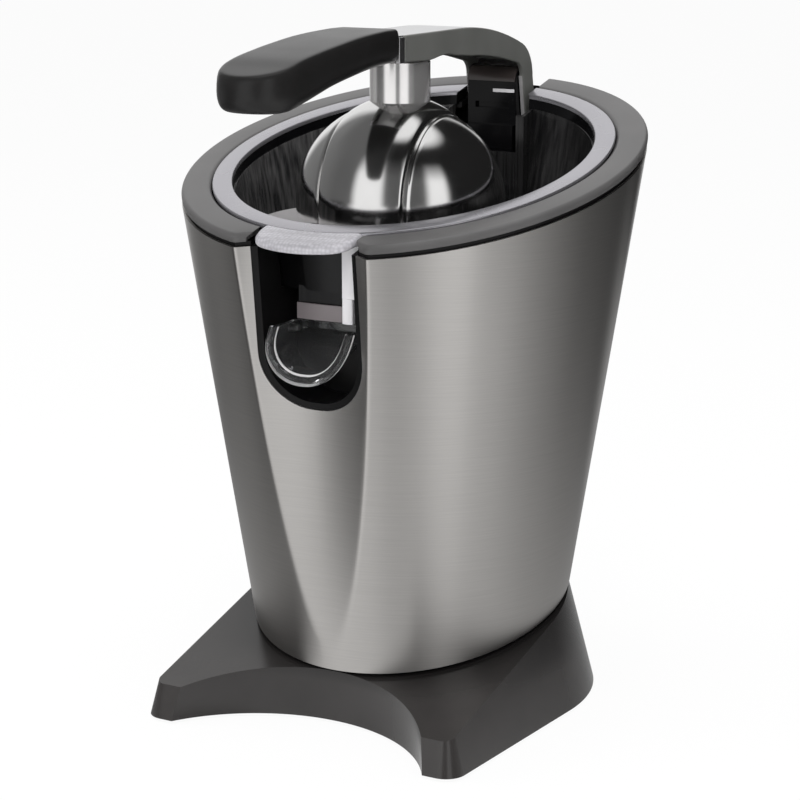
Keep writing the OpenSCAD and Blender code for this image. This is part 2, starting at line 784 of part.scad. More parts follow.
// Outline of a slice on its +X side, from the underside up to the crown
function slice_side(t) = concat(
    arc([grip_half(t) - grip_edge_r, grip_low(t) + grip_edge_r], grip_edge_r, -90, 0, 5),
    [for (i = [0:6]) let (q = 1 - i / 6) [grip_half(t) * q, grip_top(t) - grip_drop(t) * pow(q, 4)]]);
module grip_slice(t) {
    side = slice_side(t);
    translate([0, -grip_joint - lay_gap - t * (grip_len - lay_gap), 0]) rotate([90, 0, 0])
        linear_extrude(lay_gap) polygon(concat(side, reversed([for (q = side) [-q[0], q[1]]])));
}
module grip_tip() {
    thick = grip_top(grip_tip_at) - grip_low(grip_tip_at);
    full = thick - grip_edge_r;
    tip_y = grip_w / 2 * cos(grip_tip_turn) + full * sin(grip_tip_turn) - grip_reach;
    translate([0, tip_y, grip_low(grip_tip_at)]) rotate([grip_tip_turn, 0, 0]) {
        cylinder(h = thick, r = grip_w / 2 - grip_edge_r, $fn = hull_fn);
        translate([0, 0, grip_low_edge]) cylinder(h = full - grip_low_edge, r = grip_w / 2, $fn = hull_fn);
    }
}
module handle_grip() {
    step = grip_tip_at / grip_slices;
    color([0.16, 0.16, 0.17]) difference() {
        for (i = [1:grip_slices]) hull() {
            grip_slice((i - 1) * step);
            if (i < grip_slices) grip_slice(i * step);
            if (i == grip_slices) grip_tip();
        }
        tang_form(lay_gap / 2);
    }
}

stud_r = 5;
belly_h = 8;
// Dome outline turned about the press axis, drawn in by inset
module dome_form(inset, low) {
    tall_part = dome_top - dome_z - belly_h;
    steps = 16;
    at_press(0) rotate_extrude() polygon(concat([[0, low], [dome_r - inset, low]],
        [for (i = [0:steps - 1]) let (a = 90 * i / steps)
            [(dome_r - inset) * cos(a), dome_z + belly_h + (tall_part - inset) * sin(a)]],
        [[0, dome_top - inset]]));
}
module press_stem() {
    web_z = arm_top - plate_t - web_t;
    color([0.8, 0.8, 0.82]) difference() {
        at_press(0) {
            translate([0, 0, dome_top - 8]) cylinder(h = arm_low - lay_gap - dome_top + 7, r = stem_d / 2);
            translate([0, 0, dome_top]) cylinder(h = web_z - dome_top, r = stem_neck_r);
            translate([0, 0, dome_top - 11]) cylinder(h = 12, r = stud_r);
        }
        difference() {
            dome_form(0, dome_z);
            at_press(0) cylinder(h = tall, r = stud_r);
        }
    }
}
module dome_shell() {
    color([0.78, 0.78, 0.8]) difference() {
        union() {
            dome_form(band_step, dome_z);
            intersection() {
                dome_form(0, dome_z);
                box(-band_w / 2, band_w / 2, -big, big, 0, tall);
            }
        }
        dome_form(band_step + dome_t, dome_z - cut);
        at_press(0) cylinder(h = tall, r = stud_r + screw_play);
    }
}
cup_out = 5;
module press_cup() {
    cup_inset = band_step + dome_t + lay_gap / 2;
    color([0.1, 0.1, 0.1]) difference() {
        dome_form(cup_inset, dome_z - cup_out);
        dome_form(cup_inset + cup_t, dome_z - cup_out - cut);
        at_press(0) cylinder(h = tall, r = stud_r + screw_play);
    }
}
module dome_nut() {
    nut_top = dome_top - band_step - dome_t - lay_gap / 2 - cup_t;
    nut_h = 4;
    nut_drop = 1.4;
    color("silver") at_press(nut_top - nut_h - nut_drop) difference() {
        cylinder(h = nut_h, r = stud_r + 3.5, $fn = 6);
        translate([0, 0, -cut]) cylinder(h = nut_h + 2 * cut, r = stud_r + screw_play);
    }
}

// Reamer and drive shaft

reamer_foot = hub_top + press_travel + 0.5;
reamer_skirt = 3;
reamer_top = reamer_foot + reamer_h;
reamer_bore_top = reamer_foot + 18;
module reamer_cone() {
    core_r = reamer_r - 4;
    rib_w = 2.4;
    reamer_hollow = 6;
    swing_room = 1.5;
    steps = 8;
    cone_h = reamer_top - reamer_foot - reamer_skirt;
    side = [for (i = [0:steps]) let (t = i / steps)
        [1 - pow(t, 1.35), reamer_foot + reamer_skirt + cone_h * t]];
    color([0.78, 0.78, 0.8]) at_press(0) difference() {
        union() {
            rotate_extrude() polygon(concat([[0, reamer_foot], [reamer_r, reamer_foot],
                [reamer_r, reamer_foot + reamer_skirt]], [for (p = side) [core_r * p[0], p[1]]]));
            for (i = [1:reamer_ribs]) rotate(i * 360 / reamer_ribs) translate([0, rib_w / 2, 0])
                rotate([90, 0, 0]) linear_extrude(rib_w) polygon(concat([[0, reamer_foot + cut]],
                    [for (p = side) [(reamer_r - 1) * p[0], p[1] - (p[0] > 0.02 ? 0 : 0.4)]]));
        }
        translate([0, 0, reamer_foot - cut]) cylinder(h = reamer_hollow, r = hub_r + hub_wall + swing_room);
        cylinder(h = reamer_bore_top, r = shaft_d / 2 + screw_play);
    }
}
gear_z = tub_floor - 27;
gear_t = 10;
collar_z = tub_floor - 9.7;
collar_t = 2;
shaft_low = gear_z - 2;
module drive_shaft() {
    color("silver") at_press(0) {
        translate([0, 0, shaft_low]) cylinder(h = collar_z - shaft_low, r = shaft_d / 2, $fn = 6);
        translate([0, 0, collar_z]) cylinder(h = reamer_bore_top - collar_z, r = shaft_d / 2);
        translate([0, 0, collar_z]) cylinder(h = collar_t, r = shaft_d / 2 + 2.5);
    }
}
bush_low = collar_z + collar_t + swing_gap;
bush_top = tub_floor + 4;
module shaft_bush() {
    color([0.72, 0.55, 0.3]) at_press(0) difference() {
        union() {
            translate([0, 0, bush_low]) cylinder(h = bush_top - bush_low, r = bush_r - screw_play);
            translate([0, 0, tub_floor]) cylinder(h = 2, r = bush_r + 3);
        }
        cylinder(h = tall, r = shaft_d / 2 + run_fit);
    }
}
module shaft_seal() {
    color([0.1, 0.1, 0.1]) at_press(bush_top) difference() {
        cylinder(h = 3.5, r = bush_r - screw_play);
        translate([0, 0, -cut]) cylinder(h = 3.5 + 2 * cut, r = shaft_d / 2 + run_fit);
    }
}

// Gears

pressure = 20;
function involute(ratio) = ratio >= 1 ? 0 : tan(acos(ratio)) * 180 / PI - acos(ratio);
// Half the angle of a tooth at a radius
function tooth_half(teeth, m, radius) =
    let (pitch = teeth * m / 2)
    90 / teeth - backlash / 4 / pitch * 180 / PI
        + involute(cos(pressure)) - involute(pitch * cos(pressure) / radius);
function gear_outline(teeth, m) =
    let (pitch = teeth * m / 2, root = pitch - 1.25 * m, tip = pitch + m, base = pitch * cos(pressure),
        low = max(root, base), levels = [for (i = [0:3]) low + (tip - low) * i / 3])
    [for (k = [0:teeth - 1]) let (mid = k * 360 / teeth) each concat(
        [polar(root, mid - tooth_half(teeth, m, low) - 0.5 * (root < base ? 1 : 0))],
        [for (r = levels) polar(r, mid - tooth_half(teeth, m, r))],
        [for (r = reversed(levels)) polar(r, mid + tooth_half(teeth, m, r))],
        [polar(root, mid + tooth_half(teeth, m, low) + 0.5 * (root < base ? 1 : 0))])];
module gear(teeth, m, h, turn) {
    rotate(turn) linear_extrude(h) polygon(gear_outline(teeth, m));
}
idler_y = -press_y + slow_module * (output_teeth + idler_small_teeth) / 2;
motor_reach = fast_module * (idler_large_teeth + pinion_teeth) / 2;
motor_x = motor_reach * cos(motor_angle);
motor_y = idler_y + motor_reach * sin(motor_angle);
fast_z = gear_z - 12;
fast_t = 8;
idler_top = gear_z + gear_t + 2;
axle_r = 3;
gear_hole_at = 21;
gear_hole_r = 6;
module output_gear() {
    color([0.88, 0.87, 0.82]) at_press(gear_z) difference() {
        gear(output_teeth, slow_module, gear_t, 90);
        translate([0, 0, -cut]) cylinder(h = gear_t + 2 * cut, r = shaft_d / 2 + run_fit * 2, $fn = 6);
        for (i = [0:5]) rotate(i * 60) translate([gear_hole_at, 0, -cut])
            cylinder(h = gear_t + 2 * cut, r = gear_hole_r);
    }
}
module idler_gear() {
    color([0.88, 0.87, 0.82]) translate([0, idler_y, 0]) difference() {
        union() {
            translate([0, 0, fast_z]) gear(idler_large_teeth, fast_module, fast_t, motor_angle);
            translate([0, 0, fast_z]) cylinder(h = gear_z - fast_z, r = 6);
            translate([0, 0, gear_z - 1]) gear(idler_small_teeth, slow_module, idler_top - gear_z + 1,
                270 + 180 / idler_small_teeth);
        }
        cylinder(h = tall, r = axle_r + run_fit);
    }
}
module idler_axle() {
    color("silver") translate([0, idler_y, case_low + case_wall / 2])
        cylinder(h = case_top - case_low, r = axle_r - screw_play / 2);
}
module motor_pinion() {
    color([0.72, 0.55, 0.3]) translate([motor_x, motor_y, fast_z]) difference() {
        gear(pinion_teeth, fast_module, fast_t, motor_angle + 180 + 180 / pinion_teeth);
        translate([0, 0, -cut]) cylinder(h = fast_t + 2 * cut, r = rotor_shaft_r + screw_play);
    }
}
// Return spring between the output gear and the shaft's collar
spring_turns = 2.5;
spring_wire = 1;
module return_spring() {
    r = shaft_d / 2 + 1.6;
    low = spring_wire / 2 + lay_gap;
    high = collar_z - gear_z - gear_t - swing_gap - spring_wire / 2;
    rings = 30;
    sides = 6;
    points = [for (i = [0:rings]) let (a = 360 * spring_turns * i / rings, z = low + (high - low) * i / rings)
        for (k = [0:sides - 1]) let (b = 360 * k / sides, q = r + spring_wire / 2 * cos(b))
            [q * cos(a), q * sin(a), z + spring_wire / 2 * sin(b)]];
    walls = [for (i = [0:rings - 1]) for (k = [0:sides - 1]) let (n = (k + 1) % sides)
        each [[i * sides + k, (i + 1) * sides + k, i * sides + n],
            [i * sides + n, (i + 1) * sides + k, (i + 1) * sides + n]]];
    ends = [[for (k = [0:sides - 1]) k], [for (k = [sides - 1:-1:0]) rings * sides + k]];
    color("silver") at_press(gear_z + gear_t) polyhedron(points, concat(walls, ends));
}

// Gearbox and motor

case_wall = 3;
case_low = fast_z - 4;
case_top = tub_floor - tub_wall - case_wall;
case_room = 2.5;
ear_out = screw_head_r + swing_gap;
output_room = slow_module * (output_teeth / 2 + 1) + case_room;
idler_room = fast_module * (idler_large_teeth / 2 + 1) + case_room;
rear_ear_turn = 43;
rear_ear = [0, idler_y] + polar(idler_room + case_wall + ear_out, rear_ear_turn);
case_sites = both([[output_room + case_wall + ear_out, -press_y], rear_ear]);
ear_r = 6;
ear_t = 6;
rotor_shaft_r = 2.5;
post_r = 12;
post_in = 9.3;
module case_outline(grow) {
    translate([0, -press_y]) circle(output_room + grow);
    translate([0, idler_y]) circle(idler_room + grow);
    translate([motor_x, motor_y]) circle(fast_module * (pinion_teeth / 2 + 1) + case_room + grow);
}
module ears(z, h) {
    for (p = case_sites) translate([p[0], p[1], z]) cylinder(h = h, r = ear_r);
}
module gearbox_case() {
    color([0.3, 0.3, 0.32]) difference() {
        union() {
            translate([0, 0, case_low]) linear_extrude(case_top - case_low) case_outline(case_wall);
            ears(case_top - ear_t, ear_t);
        }
        difference() {
            translate([0, 0, case_low + case_wall]) linear_extrude(tall) case_outline(0);
            at_press(0) difference() {
                cylinder(h = gear_z - swing_gap, r = post_r);
                cylinder(h = tall, r = post_in);
            }
        }
        translate([motor_x, motor_y, 0]) cylinder(h = tall, r = rotor_shaft_r + 1.5);
        translate([0, idler_y, case_low + case_wall / 2]) cylinder(h = case_wall, r = axle_r);
        for (p = case_sites) translate([p[0], p[1], 0]) cylinder(h = tall, r = screw_r);
    }
}
module gearbox_cover() {
    color([0.3, 0.3, 0.32]) difference() {
        union() {
            translate([0, 0, case_top]) linear_extrude(case_wall) case_outline(case_wall);
            ears(case_top, case_wall);
        }
        at_press(0) cylinder(h = tall, r = bush_r);
        translate([0, idler_y, 0]) cylinder(h = case_top + case_wall / 2, r = axle_r);
        for (p = case_sites) translate([p[0], p[1], 0]) cylinder(h = tall, r = screw_r);
    }
}
module gearbox_screws() {
    color("silver") for (p = case_sites) translate([p[0], p[1], case_top - ear_t - screw_head_h])
        pan_screw(tub_floor - case_top + ear_t + screw_head_h - 0.5);
}
can_t = 2;
motor_low = case_low - motor_len;
magnet_t = 4;
module at_motor(z) {
    translate([motor_x, motor_y, z]) children();
}
module motor_can() {
    color([0.55, 0.55, 0.56]) at_motor(motor_low) difference() {
        cylinder(h = motor_len, r = motor_r);
        translate([0, 0, can_t]) cylinder(h = motor_len - 2 * can_t, r = motor_r - can_t);
        translate([0, 0, -cut]) cylinder(h = motor_len + 2 * cut, r = rotor_shaft_r + run_fit);
        for (a = [0:60:300]) rotate(a) translate([motor_r * 0.6, 0, -cut])
            cylinder(h = can_t + 2 * cut, r = 3);
    }
}
module motor_magnets() {
    magnet_len = motor_len - 14;
    outer = motor_r - can_t - lay_gap / 2;
    color([0.25, 0.25, 0.26]) at_motor(motor_low + 7) difference() {
        cylinder(h = magnet_len, r = outer);
        translate([0, 0, -cut]) cylinder(h = magnet_len + 2 * cut, r = outer - magnet_t);
        translate([-big, -8, -cut]) cube([2 * big, 16, magnet_len + 2 * cut]);
    }
}
fan_h = 6;
rotor_low = motor_low - fan_h - 2;
module motor_rotor() {
    core_r = motor_r - can_t - magnet_t - 1.2;
    core_end = 12;
    commutator_h = 7;
    commutator_r = 8;
    color([0.5, 0.42, 0.35]) at_motor(0) {
        translate([0, 0, rotor_low]) cylinder(h = fast_z + fast_t - rotor_low, r = rotor_shaft_r);
        translate([0, 0, motor_low + core_end]) cylinder(h = motor_len - 2 * core_end, r = core_r);
        translate([0, 0, motor_low + can_t + 1]) cylinder(h = commutator_h, r = commutator_r);
    }
}
module cooling_fan() {
    blades = 8;
    blade_t = 1.4;
    color([0.15, 0.15, 0.15]) at_motor(rotor_low + 0.5) difference() {
        union() {
            cylinder(h = fan_h, r = 6);
            cylinder(h = 1.2, r = motor_r - 3);
            for (i = [1:blades]) rotate(i * 360 / blades) translate([4, -blade_t / 2, 0])
                cube([motor_r - 8, blade_t, fan_h]);
        }
        translate([0, 0, -cut]) cylinder(h = fan_h + 2 * cut, r = rotor_shaft_r + screw_play);
    }
}

// Start switch under the shaft

switch_h = 6.5;
plunger_r = 2;
plunger_z = shaft_low - swing_gap;
switch_floor = 0.3;
plunger_len = plunger_z - case_low - case_wall - switch_floor - press_travel - swing_gap;
module start_switch() {
    color([0.12, 0.12, 0.13]) at_press(case_low + case_wall) difference() {
        translate([-6, -5, 0]) cube([12, 10, switch_h]);
        translate([0, 0, switch_floor]) cylinder(h = switch_h, r = plunger_r + run_fit);
    }
}
module switch_plunger() {
    color([0.7, 0.1, 0.1]) at_press(plunger_z - plunger_len) cylinder(h = plunger_len, r = plunger_r);
}

placed() base_foot();
placed() base_cover();
placed() foot_pads();
placed() base_screws();
placed() cord_gland();
placed() terminal_block();
placed() neck_collar();
placed() steel_shell();
placed() recess_liner();
placed() ring_gasket();
placed() top_ring();
placed() inner_tub();
placed() juice_bowl();
placed() bowl_rim();
placed() strainer();
placed() drip_spout();
placed() spout_pins();
placed() hinge_tower();
placed() tower_screws();
placed() hinge_pin();
placed() lever_arm();
placed() arm_top_plate();
placed() handle_tang();
placed() handle_grip();
placed() handle_screws();
placed() press_stem();
placed() dome_shell();
placed() press_cup();
placed() dome_nut();
placed() reamer_cone();
placed() drive_shaft();
placed() shaft_bush();
placed() shaft_seal();
placed() output_gear();
placed() return_spring();
placed() idler_gear();
placed() idler_axle();
placed() gearbox_case();
placed() gearbox_cover();
placed() gearbox_screws();
placed() motor_can();
placed() motor_magnets();
placed() motor_rotor();
placed() motor_pinion();
placed() cooling_fan();
placed() start_switch();
placed() switch_plunger();
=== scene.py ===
"""Electric lever citrus juicer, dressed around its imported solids."""

import math

import bmesh
import bpy
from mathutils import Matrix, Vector


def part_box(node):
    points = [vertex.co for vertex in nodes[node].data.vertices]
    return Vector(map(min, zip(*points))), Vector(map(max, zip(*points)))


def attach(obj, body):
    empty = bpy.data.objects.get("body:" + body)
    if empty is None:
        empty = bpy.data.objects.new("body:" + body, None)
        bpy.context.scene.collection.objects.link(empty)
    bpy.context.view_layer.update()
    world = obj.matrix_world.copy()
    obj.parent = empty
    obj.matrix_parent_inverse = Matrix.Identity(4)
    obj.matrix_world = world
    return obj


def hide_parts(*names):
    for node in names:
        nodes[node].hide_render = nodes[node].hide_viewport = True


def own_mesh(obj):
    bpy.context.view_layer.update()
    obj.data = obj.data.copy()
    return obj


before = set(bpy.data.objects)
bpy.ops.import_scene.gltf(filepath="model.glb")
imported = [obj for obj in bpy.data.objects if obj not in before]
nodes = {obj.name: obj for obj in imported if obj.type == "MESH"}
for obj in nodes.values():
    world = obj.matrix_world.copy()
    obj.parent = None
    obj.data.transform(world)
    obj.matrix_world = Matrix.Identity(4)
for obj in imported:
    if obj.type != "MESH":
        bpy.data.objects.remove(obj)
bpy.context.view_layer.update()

# Sizes in millimetres about the body axis, as the solids have them
AXIS_Y = 16.6311
SLOPE = math.tan(math.radians(14.4))
FLARE = math.tan(math.radians(8.8))
BODY_R, BODY_LOW, BODY_TOP = 75, 46, 249
STEEL_T = 1.2
SCOOP_LEAN, SCOOP_TAPER = math.radians(15.7), math.tan(math.radians(20.5))
SCOOP_R, SCOOP_REACH = 149, 139.5
NOTCH_HALF, NOTCH_LOW, NOTCH_CORNER = 27, 152, 25
RIM_PLANE, RING_LOW, RING_W, RING_OVER = 255, 251, 13.5, 0.8
RIM_INSET, BOWL_INSET, RIM_PROUD = 14, 23.5, 0.3
NOSE_HALF, NOSE_REACH, NOSE_R, NOSE_LOW = 25, 104.02, 55, 251
REAR_HALF = 18.5
BASE_R, BASE_DRAFT, BASE_LOW, BASE_TOP = 90, math.tan(math.radians(14.5)), 1.5, 44
TOE_X, TOE_Y, TOE_R = 72.5, 98.5, 10
ARCH_R, ARCH_Y = 77, 71
HINGE_Y, HINGE_Z = 90.0314, 283
ARM_TOP, ARM_HALF, ARM_WALL = 313, 15.7, 2.2
GRIP_JOINT, GRIP_TIP, GRIP_TIP_R = 37.5, 144.3, 18.5
PRESS_Y, DOME_R, DOME_LOW, DOME_TOP = 9, 43.5, 228, 284
BAND_HALF, BAND_STEP, DOME_T = 21.5, 1.2, 1.2
STEM_R, STEM_NECK_R = 13.9, 11
SPOUT_HALF, SPOUT_LOW, SPOUT_TOP = 20.5, 165.5, 188.5
SPOUT_FRONT, SPOUT_BACK, SPOUT_WALL = 98, 65, 2.2


def spot(x, y, z):
    """A point given about the body axis in millimetres, in the frame's metres."""
    return Vector((x, y + AXIS_Y, z)) / 1000


def mix(a, b, share):
    return a + (b - a) * share


def spread(a, b, count):
    """count + 1 even steps from a to b."""
    return [mix(a, b, i / count) for i in range(count + 1)]


def soft_max(a, b, blend):
    near = max(blend - abs(a - b), 0) / blend
    return max(a, b) + near * near * blend / 4


def circle(count):
    """count even angles once round."""
    return spread(0, 2 * math.pi, count)[:-1]


def flipped(row):
    """The row of points on the other side of the middle."""
    return [(-x, y, z) for x, y, z in row]


def arc(centre, radius, start, end, count):
    """Points of an arc in a plane, angles in degrees."""
    return [(centre[0] + radius * math.cos(math.radians(t)), centre[1] + radius * math.sin(math.radians(t)))
            for t in spread(start, end, count)]


def through(points, at):
    """Height at a place on a line through points sorted along their first value, eased between them."""
    if at <= points[0][0]:
        return points[0][1]
    for i in range(len(points) - 1):
        (a, za), (b, zb) = points[i], points[i + 1]
        if at <= b:
            before = points[i - 1] if i else points[i]
            after = points[i + 2] if i + 2 < len(points) else points[i + 1]
            t = (at - a) / (b - a)
            ma = (zb - before[1]) / (b - before[0]) * (b - a)
            mb = (after[1] - za) / (after[0] - a) * (b - a)
            return ((2 * t ** 3 - 3 * t * t + 1) * za + (t ** 3 - 2 * t * t + t) * ma
                    + (3 * t * t - 2 * t ** 3) * zb + (t ** 3 - t * t) * mb)
    return points[-1][1]


# Camera at the photograph's viewing angle

CAMERA_TURN, CAMERA_TILT, CAMERA_FAR = math.radians(28.961), math.radians(13.301), 1070
CAMERA_LENS, CAMERA_SHIFT = 101.4, -0.012
AIM = spot(0, 0, 139.13)
camera_data = bpy.data.cameras.new("camera")
camera = bpy.data.objects.new("camera", camera_data)
bpy.context.scene.collection.objects.link(camera)
bpy.context.scene.camera = camera
camera_data.sensor_width, camera_data.lens = 36, CAMERA_LENS
camera_data.shift_x = CAMERA_SHIFT
camera_data.clip_start = 0.01
away = Vector((math.sin(CAMERA_TURN) * math.cos(CAMERA_TILT), -math.cos(CAMERA_TURN) * math.cos(CAMERA_TILT),
               math.sin(CAMERA_TILT)))
camera.location = AIM + away * CAMERA_FAR / 1000
camera.rotation_euler = (-away).to_track_quat("-Z", "Y").to_euler()
bpy.context.scene.view_settings.view_transform = "Standard"


# Finishes

class Wire:
    """A node's output. Arithmetic on wires adds Math nodes."""

    def __init__(self, sheet, socket):
        self.sheet, self.socket = sheet, socket

    def math(self, operation, *others):
        return self.sheet.node("ShaderNodeMath", {"operation": operation}, dict(enumerate((self, *others))))

    def __add__(self, other):
        return self.math("ADD", other)

    __radd__ = __add__

    def __mul__(self, other):
        return self.math("MULTIPLY", other)

    __rmul__ = __mul__

    def __sub__(self, other):
        return self.math("SUBTRACT", other)

    def __rsub__(self, other):
        return self.sheet.node("ShaderNodeMath", {"operation": "SUBTRACT"}, {0: other, 1: self})


class Sheet:
    """A node tree that takes one node at a time."""

    def __init__(self, tree):
        self.tree = tree
        tree.nodes.clear()

    def node(self, kind, settings=None, sockets=None, out=0):
        """A node of a kind, its settings set first, then its sockets; gives its output as a wire."""
        made = self.tree.nodes.new(kind)
        for key, value in (settings or {}).items():
            if key == "stops":
                ramp = made.color_ramp
                while len(ramp.elements) < len(value):
                    ramp.elements.new(1)
                for element, (place, colour) in zip(ramp.elements, value):
                    element.position, element.color = place, (*colour, 1)
            else:
                setattr(made, key, value)
        for key, value in (sockets or {}).items():
            if isinstance(value, Wire):
                self.tree.links.new(value.socket, made.inputs[key])
            else:
                made.inputs[key].default_value = value
        return Wire(self, made.outputs[out]) if made.outputs else made

    def place(self, scale):
        """The place on the object in metres, times the scale."""
        where = self.node("ShaderNodeTexCoord", out="Object")
        return self.node("ShaderNodeMapping", {"vector_type": "POINT"}, {"Vector": where, "Scale": scale})

    def split(self, vector, count=3):
        """The first count values of a vector."""
        return [self.node("ShaderNodeSeparateXYZ", {}, {0: vector}, out=i) for i in range(count)]

    def grain(self, size, detail, stretch=(1, 1, 1)):
        """Noise whose grains are about size millimetres."""
        rate = tuple(1000 / size * s for s in stretch)
        return self.node("ShaderNodeTexNoise", {"noise_dimensions": "3D"},
                         {"Vector": self.place(rate), "Scale": 1.0, "Detail": detail})

    def dots(self, **sockets):
        """Distance from the nearest of many dots, a millimetre apart at a scale of 1."""
        return self.node("ShaderNodeTexVoronoi", {"feature": "F1"},
                         {"Vector": self.place((1000, 1000, 1000)), **sockets})

    def ramp(self, value, *stops):
        """Colours or greys along a value."""
        return self.node("ShaderNodeValToRGB", {"stops": [(p, c if isinstance(c, tuple) else (c,) * 3)
                                                          for p, c in stops]}, {"Fac": value})

    def blend(self, a, b, share):
        """Colour a, giving way to colour b; sockets 6 and 7 and output 2 are the node's colour ones."""
        return self.node("ShaderNodeMix", {"data_type": "RGBA"}, {"Factor": share, 6: a, 7: b}, out=2)

    def bump(self, height, depth):
        """Relief of a depth in millimetres."""
        return self.node("ShaderNodeBump", {}, {"Height": height, "Distance": depth / 1000, "Strength": 1.0})


def finish_of(name, recipe):
    """A material whose Principled sockets come from recipe(sheet)."""
    material = bpy.data.materials.new(name)
    material.use_nodes = True
    sheet = Sheet(material.node_tree)
    surface = sheet.node("ShaderNodeBsdfPrincipled", {}, recipe(sheet))
    sheet.node("ShaderNodeOutputMaterial", {}, {"Surface": surface})
    return material


def off_axis(x, y):
    """Distance from an upright axis."""
    return (x * x + y * y).math("SQRT")


def shade(sheet, colour, drift, grains):
    """A colour that drifts a little lighter and darker over the surface."""
    low = tuple(c * (1 - drift) for c in colour)
    high = tuple(min(c * (1 + drift), 1) for c in colour)
    return sheet.ramp(grains, (0.3, low), (0.7, high))


BROAD_MM, DECIMETRES = 30, (10, 10, 10)


def moulded(colour, roughness, grain_mm, depth, drift=0.12, shine=0.5):
    """Moulded plastic with a fine spark-eroded grain."""
    def recipe(sheet):
        fine = sheet.grain(grain_mm, 3)
        broad = sheet.grain(BROAD_MM, 2)
        return {"Base Color": shade(sheet, colour, drift, broad),
                "Roughness": roughness - 0.07 + broad * 0.1 + fine * 0.04,
                "Normal": sheet.bump(fine, depth), "Specular IOR Level": shine}
    return recipe


def pedestal_paint(sheet):
    """Moulded dark plastic, with painted shade that darkens its top close round the body that stands on it."""
    fine, broad = sheet.grain(0.5, 3), sheet.grain(BROAD_MM, 2)
    x, y, z = sheet.split(sheet.place(DECIMETRES))
    clear_of_painted_shade = sheet.ramp(off_axis(x, y - AXIS_Y / 100), (0.76, 0.25), (0.86, 0.6), (1, 1))
    high = sheet.ramp(z, (0.2, 0), (0.28, 1))
    colour = shade(sheet, (0.033, 0.0305, 0.0298), 0.12, broad)
    # Painted shade: the top goes nearly black close round the body, standing in for its shadow.
    return {"Base Color": sheet.blend(colour, (0.004, 0.0035, 0.0035, 1), (1 - clear_of_painted_shade) * high),
            "Roughness": 0.13 + broad * 0.1 + fine * 0.04, "Normal": sheet.bump(fine, 0.004)}


def metal(colour, roughness, stretch, grain_mm, depth):
    """Metal with a grain drawn out along one direction."""
    def recipe(sheet):
        lines = sheet.grain(grain_mm, 4, stretch)
        broad = sheet.grain(40, 2)
        return {"Base Color": shade(sheet, colour, 0.06, lines), "Metallic": 1.0,
                "Roughness": roughness - 0.06 + lines * 0.08 + broad * 0.04, "Normal": sheet.bump(lines, depth)}
    return recipe


def brushed(sheet):
    """Steel brushed round the body, with faint wear."""
    lines = sheet.grain(0.5, 4, (0.02, 0.02, 1))
    broad = sheet.grain(45, 2, (1, 1, 0.6))
    return {"Base Color": shade(sheet, (0.59, 0.574, 0.556), 0.04, lines), "Metallic": 1.0,
            "Roughness": 0.3 + lines * 0.08 + broad * 0.04, "Normal": sheet.bump(lines, 0.004),
            "Anisotropic": 0.9, "Anisotropic Rotation": 0.25}


def polished(colour, metallic):
    """Mirror-polished steel with the faintest haze."""
    def recipe(sheet):
        haze = sheet.grain(12, 3)
        fine = sheet.grain(0.6, 2)
        return {"Base Color": shade(sheet, colour, 0.02, haze), "Metallic": metallic,
                "Roughness": 0.1 + haze * 0.06, "Normal": sheet.bump(fine, 0.0004)}
    return recipe


def silvered(sheet):
    """Silver-painted plastic with a fine dotted texture."""
    dots = sheet.dots(Scale=0.75)
    broad = sheet.grain(BROAD_MM, 2)
    return {"Base Color": shade(sheet, (0.45, 0.442, 0.472), 0.04, broad), "Metallic": 0.85,
            "Roughness": 0.24 + broad * 0.06, "Normal": sheet.bump(dots, 0.003)}


def dotted(sheet):
    """Silver paint over rows of fine raised dots."""
    dots = sheet.dots(Scale=0.56, Randomness=0.35)
    return {"Base Color": sheet.ramp(dots, (0.15, (0.61, 0.6, 0.635)), (0.7, (0.45, 0.44, 0.47))),
            "Metallic": 0.25, "Roughness": 0.36 + dots * 0.1, "Normal": sheet.bump(1 - dots, 0.03)}


def smoked(sheet):
    """Dark glossy bowl with draw lines down its wall, lighter streaks of painted reflection along them, black at its
    outlet, and painted shade on the +X side.
    """
    lines = sheet.grain(2.5, 3, (1, 1, 0.04))
    across, along = sheet.split(sheet.place(DECIMETRES), 2)
    # Painted reflection: lighter streaks along the draw lines.
    drawn = sheet.ramp(lines, (0.35, (0.05, 0.05, 0.052)), (0.7, (0.24, 0.235, 0.235)))
    wall = sheet.blend((0.004, 0.004, 0.0045, 1), drawn, sheet.ramp(along + 1, (0.46, 0), (0.466, 1)))
    # Painted shade: the +X side of the bowl darkens.
    darker = sheet.ramp(across + 0.5, (0.2, 0), (0.6, 0.8))
    return {"Base Color": sheet.blend(wall, (0.012, 0.012, 0.0125, 1), darker), "Metallic": 0.6,
            "Roughness": 0.1 + lines * 0.1, "Normal": sheet.bump(lines, 0.05)}


def clear(sheet):
    """Clear moulding with faint smears of juice."""
    smear = sheet.grain(9, 3)
    return {"Base Color": (0.97, 0.98, 0.99, 1), "Roughness": 0.02 + smear * 0.05,
            "Transmission Weight": 0.985, "IOR": 1.46}


def lip_highlight_finish(sheet):
    """Pale, partly clear moulding: a painted highlight along the lip's edge."""
    smear = sheet.grain(6, 3)
    return {"Base Color": shade(sheet, (0.93, 0.92, 0.92), 0.03, smear), "Roughness": 0.12 + smear * 0.1,
            "Transmission Weight": 0.35, "IOR": 1.46}


